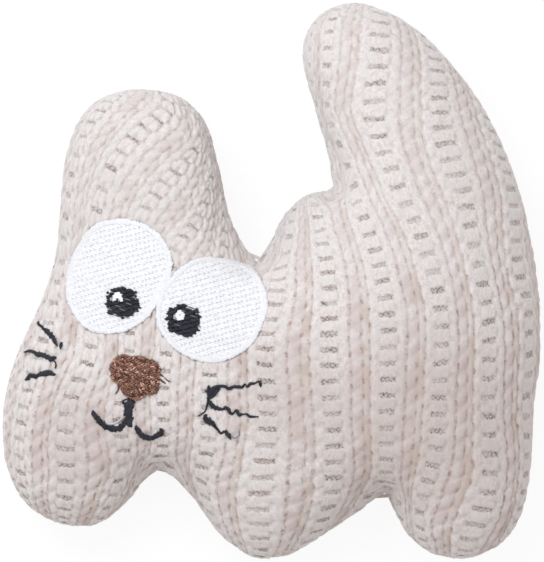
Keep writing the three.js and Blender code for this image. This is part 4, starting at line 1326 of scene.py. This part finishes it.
# A few strands turn to the glint colour: painted highlights.
nose_value[nose_value > 0.93] = 1.45
nose_value[nose_value < 0.22] = 0.0
nose_lift = fill_lift + nose_random.uniform(0.08, 0.3, len(starts)) * mm
nose_rows = strands(
    starts + swing, ends - swing, width=0.28 * mm, lift=nose_lift, dip=0.3 * mm, seed=51, flat=0.4,
    tip=0.25, taper=3, value=nose_value)
nose_base = base_pad(nose_edge, rings=12, top=fill_lift - 0.05 * mm, strand=0.0)
nose_threads = line_strands([
    [(159, 373, 2.5), (161.5, 374.5, 3), (164, 376, 1)],
    [(159, 378, 1.5), (162, 380, 2.5), (165.5, 382.5, 1.2)],
    [(165.5, 377.5, 1), (168, 380, 1.6), (170, 381, 1)],
    [(119.5, 386, 1.2), (118.5, 390, 1.4), (116.5, 393, 1)],
], 55, value=0.0)
nose_parts = [nose_base, nose_rows, nose_threads]
thread_piece("nose_stitches", nose_parts, brown_thread, "brown_thread", "nose")

# %% Mouth and whiskers
stitched_lines = {
    "mouth_stem": [
        [(130, 397.5, 4), (129.5, 401.5, 6), (129, 405.5, 10), (129.2, 410, 12), (129.6, 414, 10),
         (129.5, 418, 7.5), (130.3, 421.5, 7.5), (132, 425.5, 3)],
        [(127, 398.5, 1), (123, 401, 1.6), (126.5, 405, 1.4)],
    ],
    "mouth_left": [
        [(93, 412.5, 4), (96.5, 416.5, 4.5), (100.5, 421.5, 6.5), (106.5, 426, 7),
         (113.5, 428.3, 7.5), (120.5, 427, 7.5), (125, 422.5, 7), (127.5, 416, 4)],
    ],
    "mouth_right": [
        [(136, 427, 3.5), (138.6, 431, 5), (143, 435.3, 5.5), (149.5, 437.6, 4.8),
         (155.5, 436.4, 4.8), (160, 433.3, 6.5), (161.2, 430.8, 5.5), (160.6, 428.8, 2)],
    ],
    "left_whisker_upper": [
        [(38.8, 322.5, 2), (39.3, 324.3, 3), (42, 326.3, 2.2), (45.5, 330, 4), (49.5, 333, 6.5),
         (52, 335.5, 4), (55, 340, 4), (57, 343.5, 2.2), (58, 345.3, 1)],
        [(61.5, 343.5, 2.6), (61.8, 347, 3)],
    ],
    "left_whisker_middle": [
        [(25, 352.2, 1), (29, 350.8, 2), (34, 351.8, 3), (38, 354, 4), (43, 354.5, 5),
         (47.5, 356.8, 4), (51, 358.3, 5.5), (53.5, 357.5, 4.5), (55.2, 356.6, 2)],
        [(55, 360.5, 1), (56.7, 363.5, 1), (56.2, 367.5, 1)],
    ],
    "left_whisker_lower": [
        [(27.2, 379.6, 2.6), (30, 376, 3.6), (33.5, 375.5, 5), (38, 375.6, 3.6), (43, 373.4, 5.5),
         (47, 372.6, 4.2), (51, 372.6, 5.8), (55, 373, 1.5)],
    ],
    "right_whisker_upper": [
        [(208, 391.5, 4), (212, 389, 4), (217, 386.3, 3), (224, 385.8, 2.6), (229, 388, 3.4),
         (233, 386.5, 2.4), (238, 386.3, 3), (242.5, 386.3, 2.6), (245, 383.5, 1.4),
         (247.5, 386.5, 1.6), (250.5, 383.5, 2.8), (255.5, 382.5, 1.8), (258, 381, 1.4),
         (261, 384.5, 4.2)],
        [(208.8, 398, 2.8), (213, 395.5, 2.8), (216, 392, 3.2), (218, 389, 2.8)],
        [(208.4, 386, 1.8), (208.8, 399, 2.2)],
        [(209, 388, 3), (210.4, 394.5, 4.5)],
        [(210.5, 394, 5), (215.5, 389, 4.5)],
    ],
    "right_whisker_middle": [
        [(209, 402, 3), (211.5, 404, 5.5), (214.5, 406.3, 4.6), (219, 408, 3.8),
         (223, 408.5, 2.4), (226, 407.3, 2.8), (229, 410, 3.4), (231.5, 413, 3.2),
         (234, 412, 1.8), (236, 409.8, 1.8), (239, 413.5, 3.8), (243, 413.5, 1.2),
         (247, 413.8, 1.8), (249, 415.5, 2.6), (253, 416, 2.4), (258, 416, 1.3)],
    ],
    "right_whisker_lower": [
        [(205.5, 414.5, 3), (205.5, 418, 5.5), (210, 421, 6.5), (213, 422.5, 5),
         (214.8, 425.5, 3.4), (218, 429, 2.4), (221.5, 432.3, 2.8), (225, 430.7, 2.4),
         (227, 433.2, 3), (230.5, 436.5, 4.2)],
        [(208.4, 399, 1.6), (207, 405.5, 1.8), (205.3, 410.5, 1.4), (199, 415.3, 1.4)],
    ],
}
# Pale strands over some lines: black thread turned towards the glint colour, painted highlights.
glint_lines = {
    "mouth_left": (1.75, [
        [(107.5, 422, 1.2), (112, 423.3, 1.4), (117, 421.8, 1.4), (121.5, 418.6, 1.2),
         (123.3, 415.5, 1)],
    ]),
    "right_whisker_lower": (1.4, [
        [(232, 436, 1), (235, 437.3, 1), (239, 434.5, 1), (239.3, 431, 1)],
    ]),
}
for number, (name, lines) in enumerate(stitched_lines.items()):
    seed = 60 + 10 * number
    parts = [line_strands(lines, seed)]
    if name in glint_lines:
        # Painted highlights over the line.
        shade, lines_over = glint_lines[name]
        parts.append(line_strands(lines_over, seed + 5, value=shade))
    thread_piece(f"{name}_stitches", parts, black_thread, "black_thread", name)

# %% [markdown]
# ## What lies inside
#
# The seam threads, the backing, the pouch, the leaf and the wads of fibre are hidden, but each has
# its own finish, as they show when the toy is opened.


# %% Finishes of the inner pieces
def soft_material(name, dark, light, size, sheen=0.2):
    """A matt soft finish: two colours mixed by noise, with short fibres as bump."""
    material, tree, shader = new_material(name)
    place = node(tree, "ShaderNodeTexCoord").outputs["Object"]
    blotches = noise(tree, place, size, 4.0)
    spread = node(tree, "ShaderNodeMapRange", blotches, 0.35, 0.65, 0.0, 1.0)
    colour = mixed(tree, spread.outputs[0], dark, light)
    pile = node(tree, "ShaderNodeGroup", node_tree=short_fibres)
    pile.inputs["Size"].default_value = size * 2
    finish_surface(
        tree, shader, colour, pile.outputs["Height"], bump_strength=0.6, bump_distance=0.4 * mm,
        Roughness=0.95, Sheen_Weight=sheen)
    return material


inner_finishes = {
    "fibre": soft_material("stuffing_fibre", (0.80, 0.79, 0.77, 1), (0.92, 0.91, 0.89, 1), 420.0),
    "felt": soft_material("bonded_felt", (0.74, 0.72, 0.68, 1), (0.86, 0.84, 0.80, 1), 900.0),
    "dried_leaf": soft_material(
        "dried_leaf", (0.10, 0.12, 0.035, 1), (0.32, 0.33, 0.14, 1), 700.0, sheen=0.0),
    "cream_thread": cream_thread,
}
for part in frame["record"]["subparts"]:
    finish = inner_finishes.get(part["material_slot"])
    if finish:
        mesh = frame["nodes"][part["node"]].data
        mesh.materials.clear()
        mesh.materials.append(finish)
print("inner nodes finished")
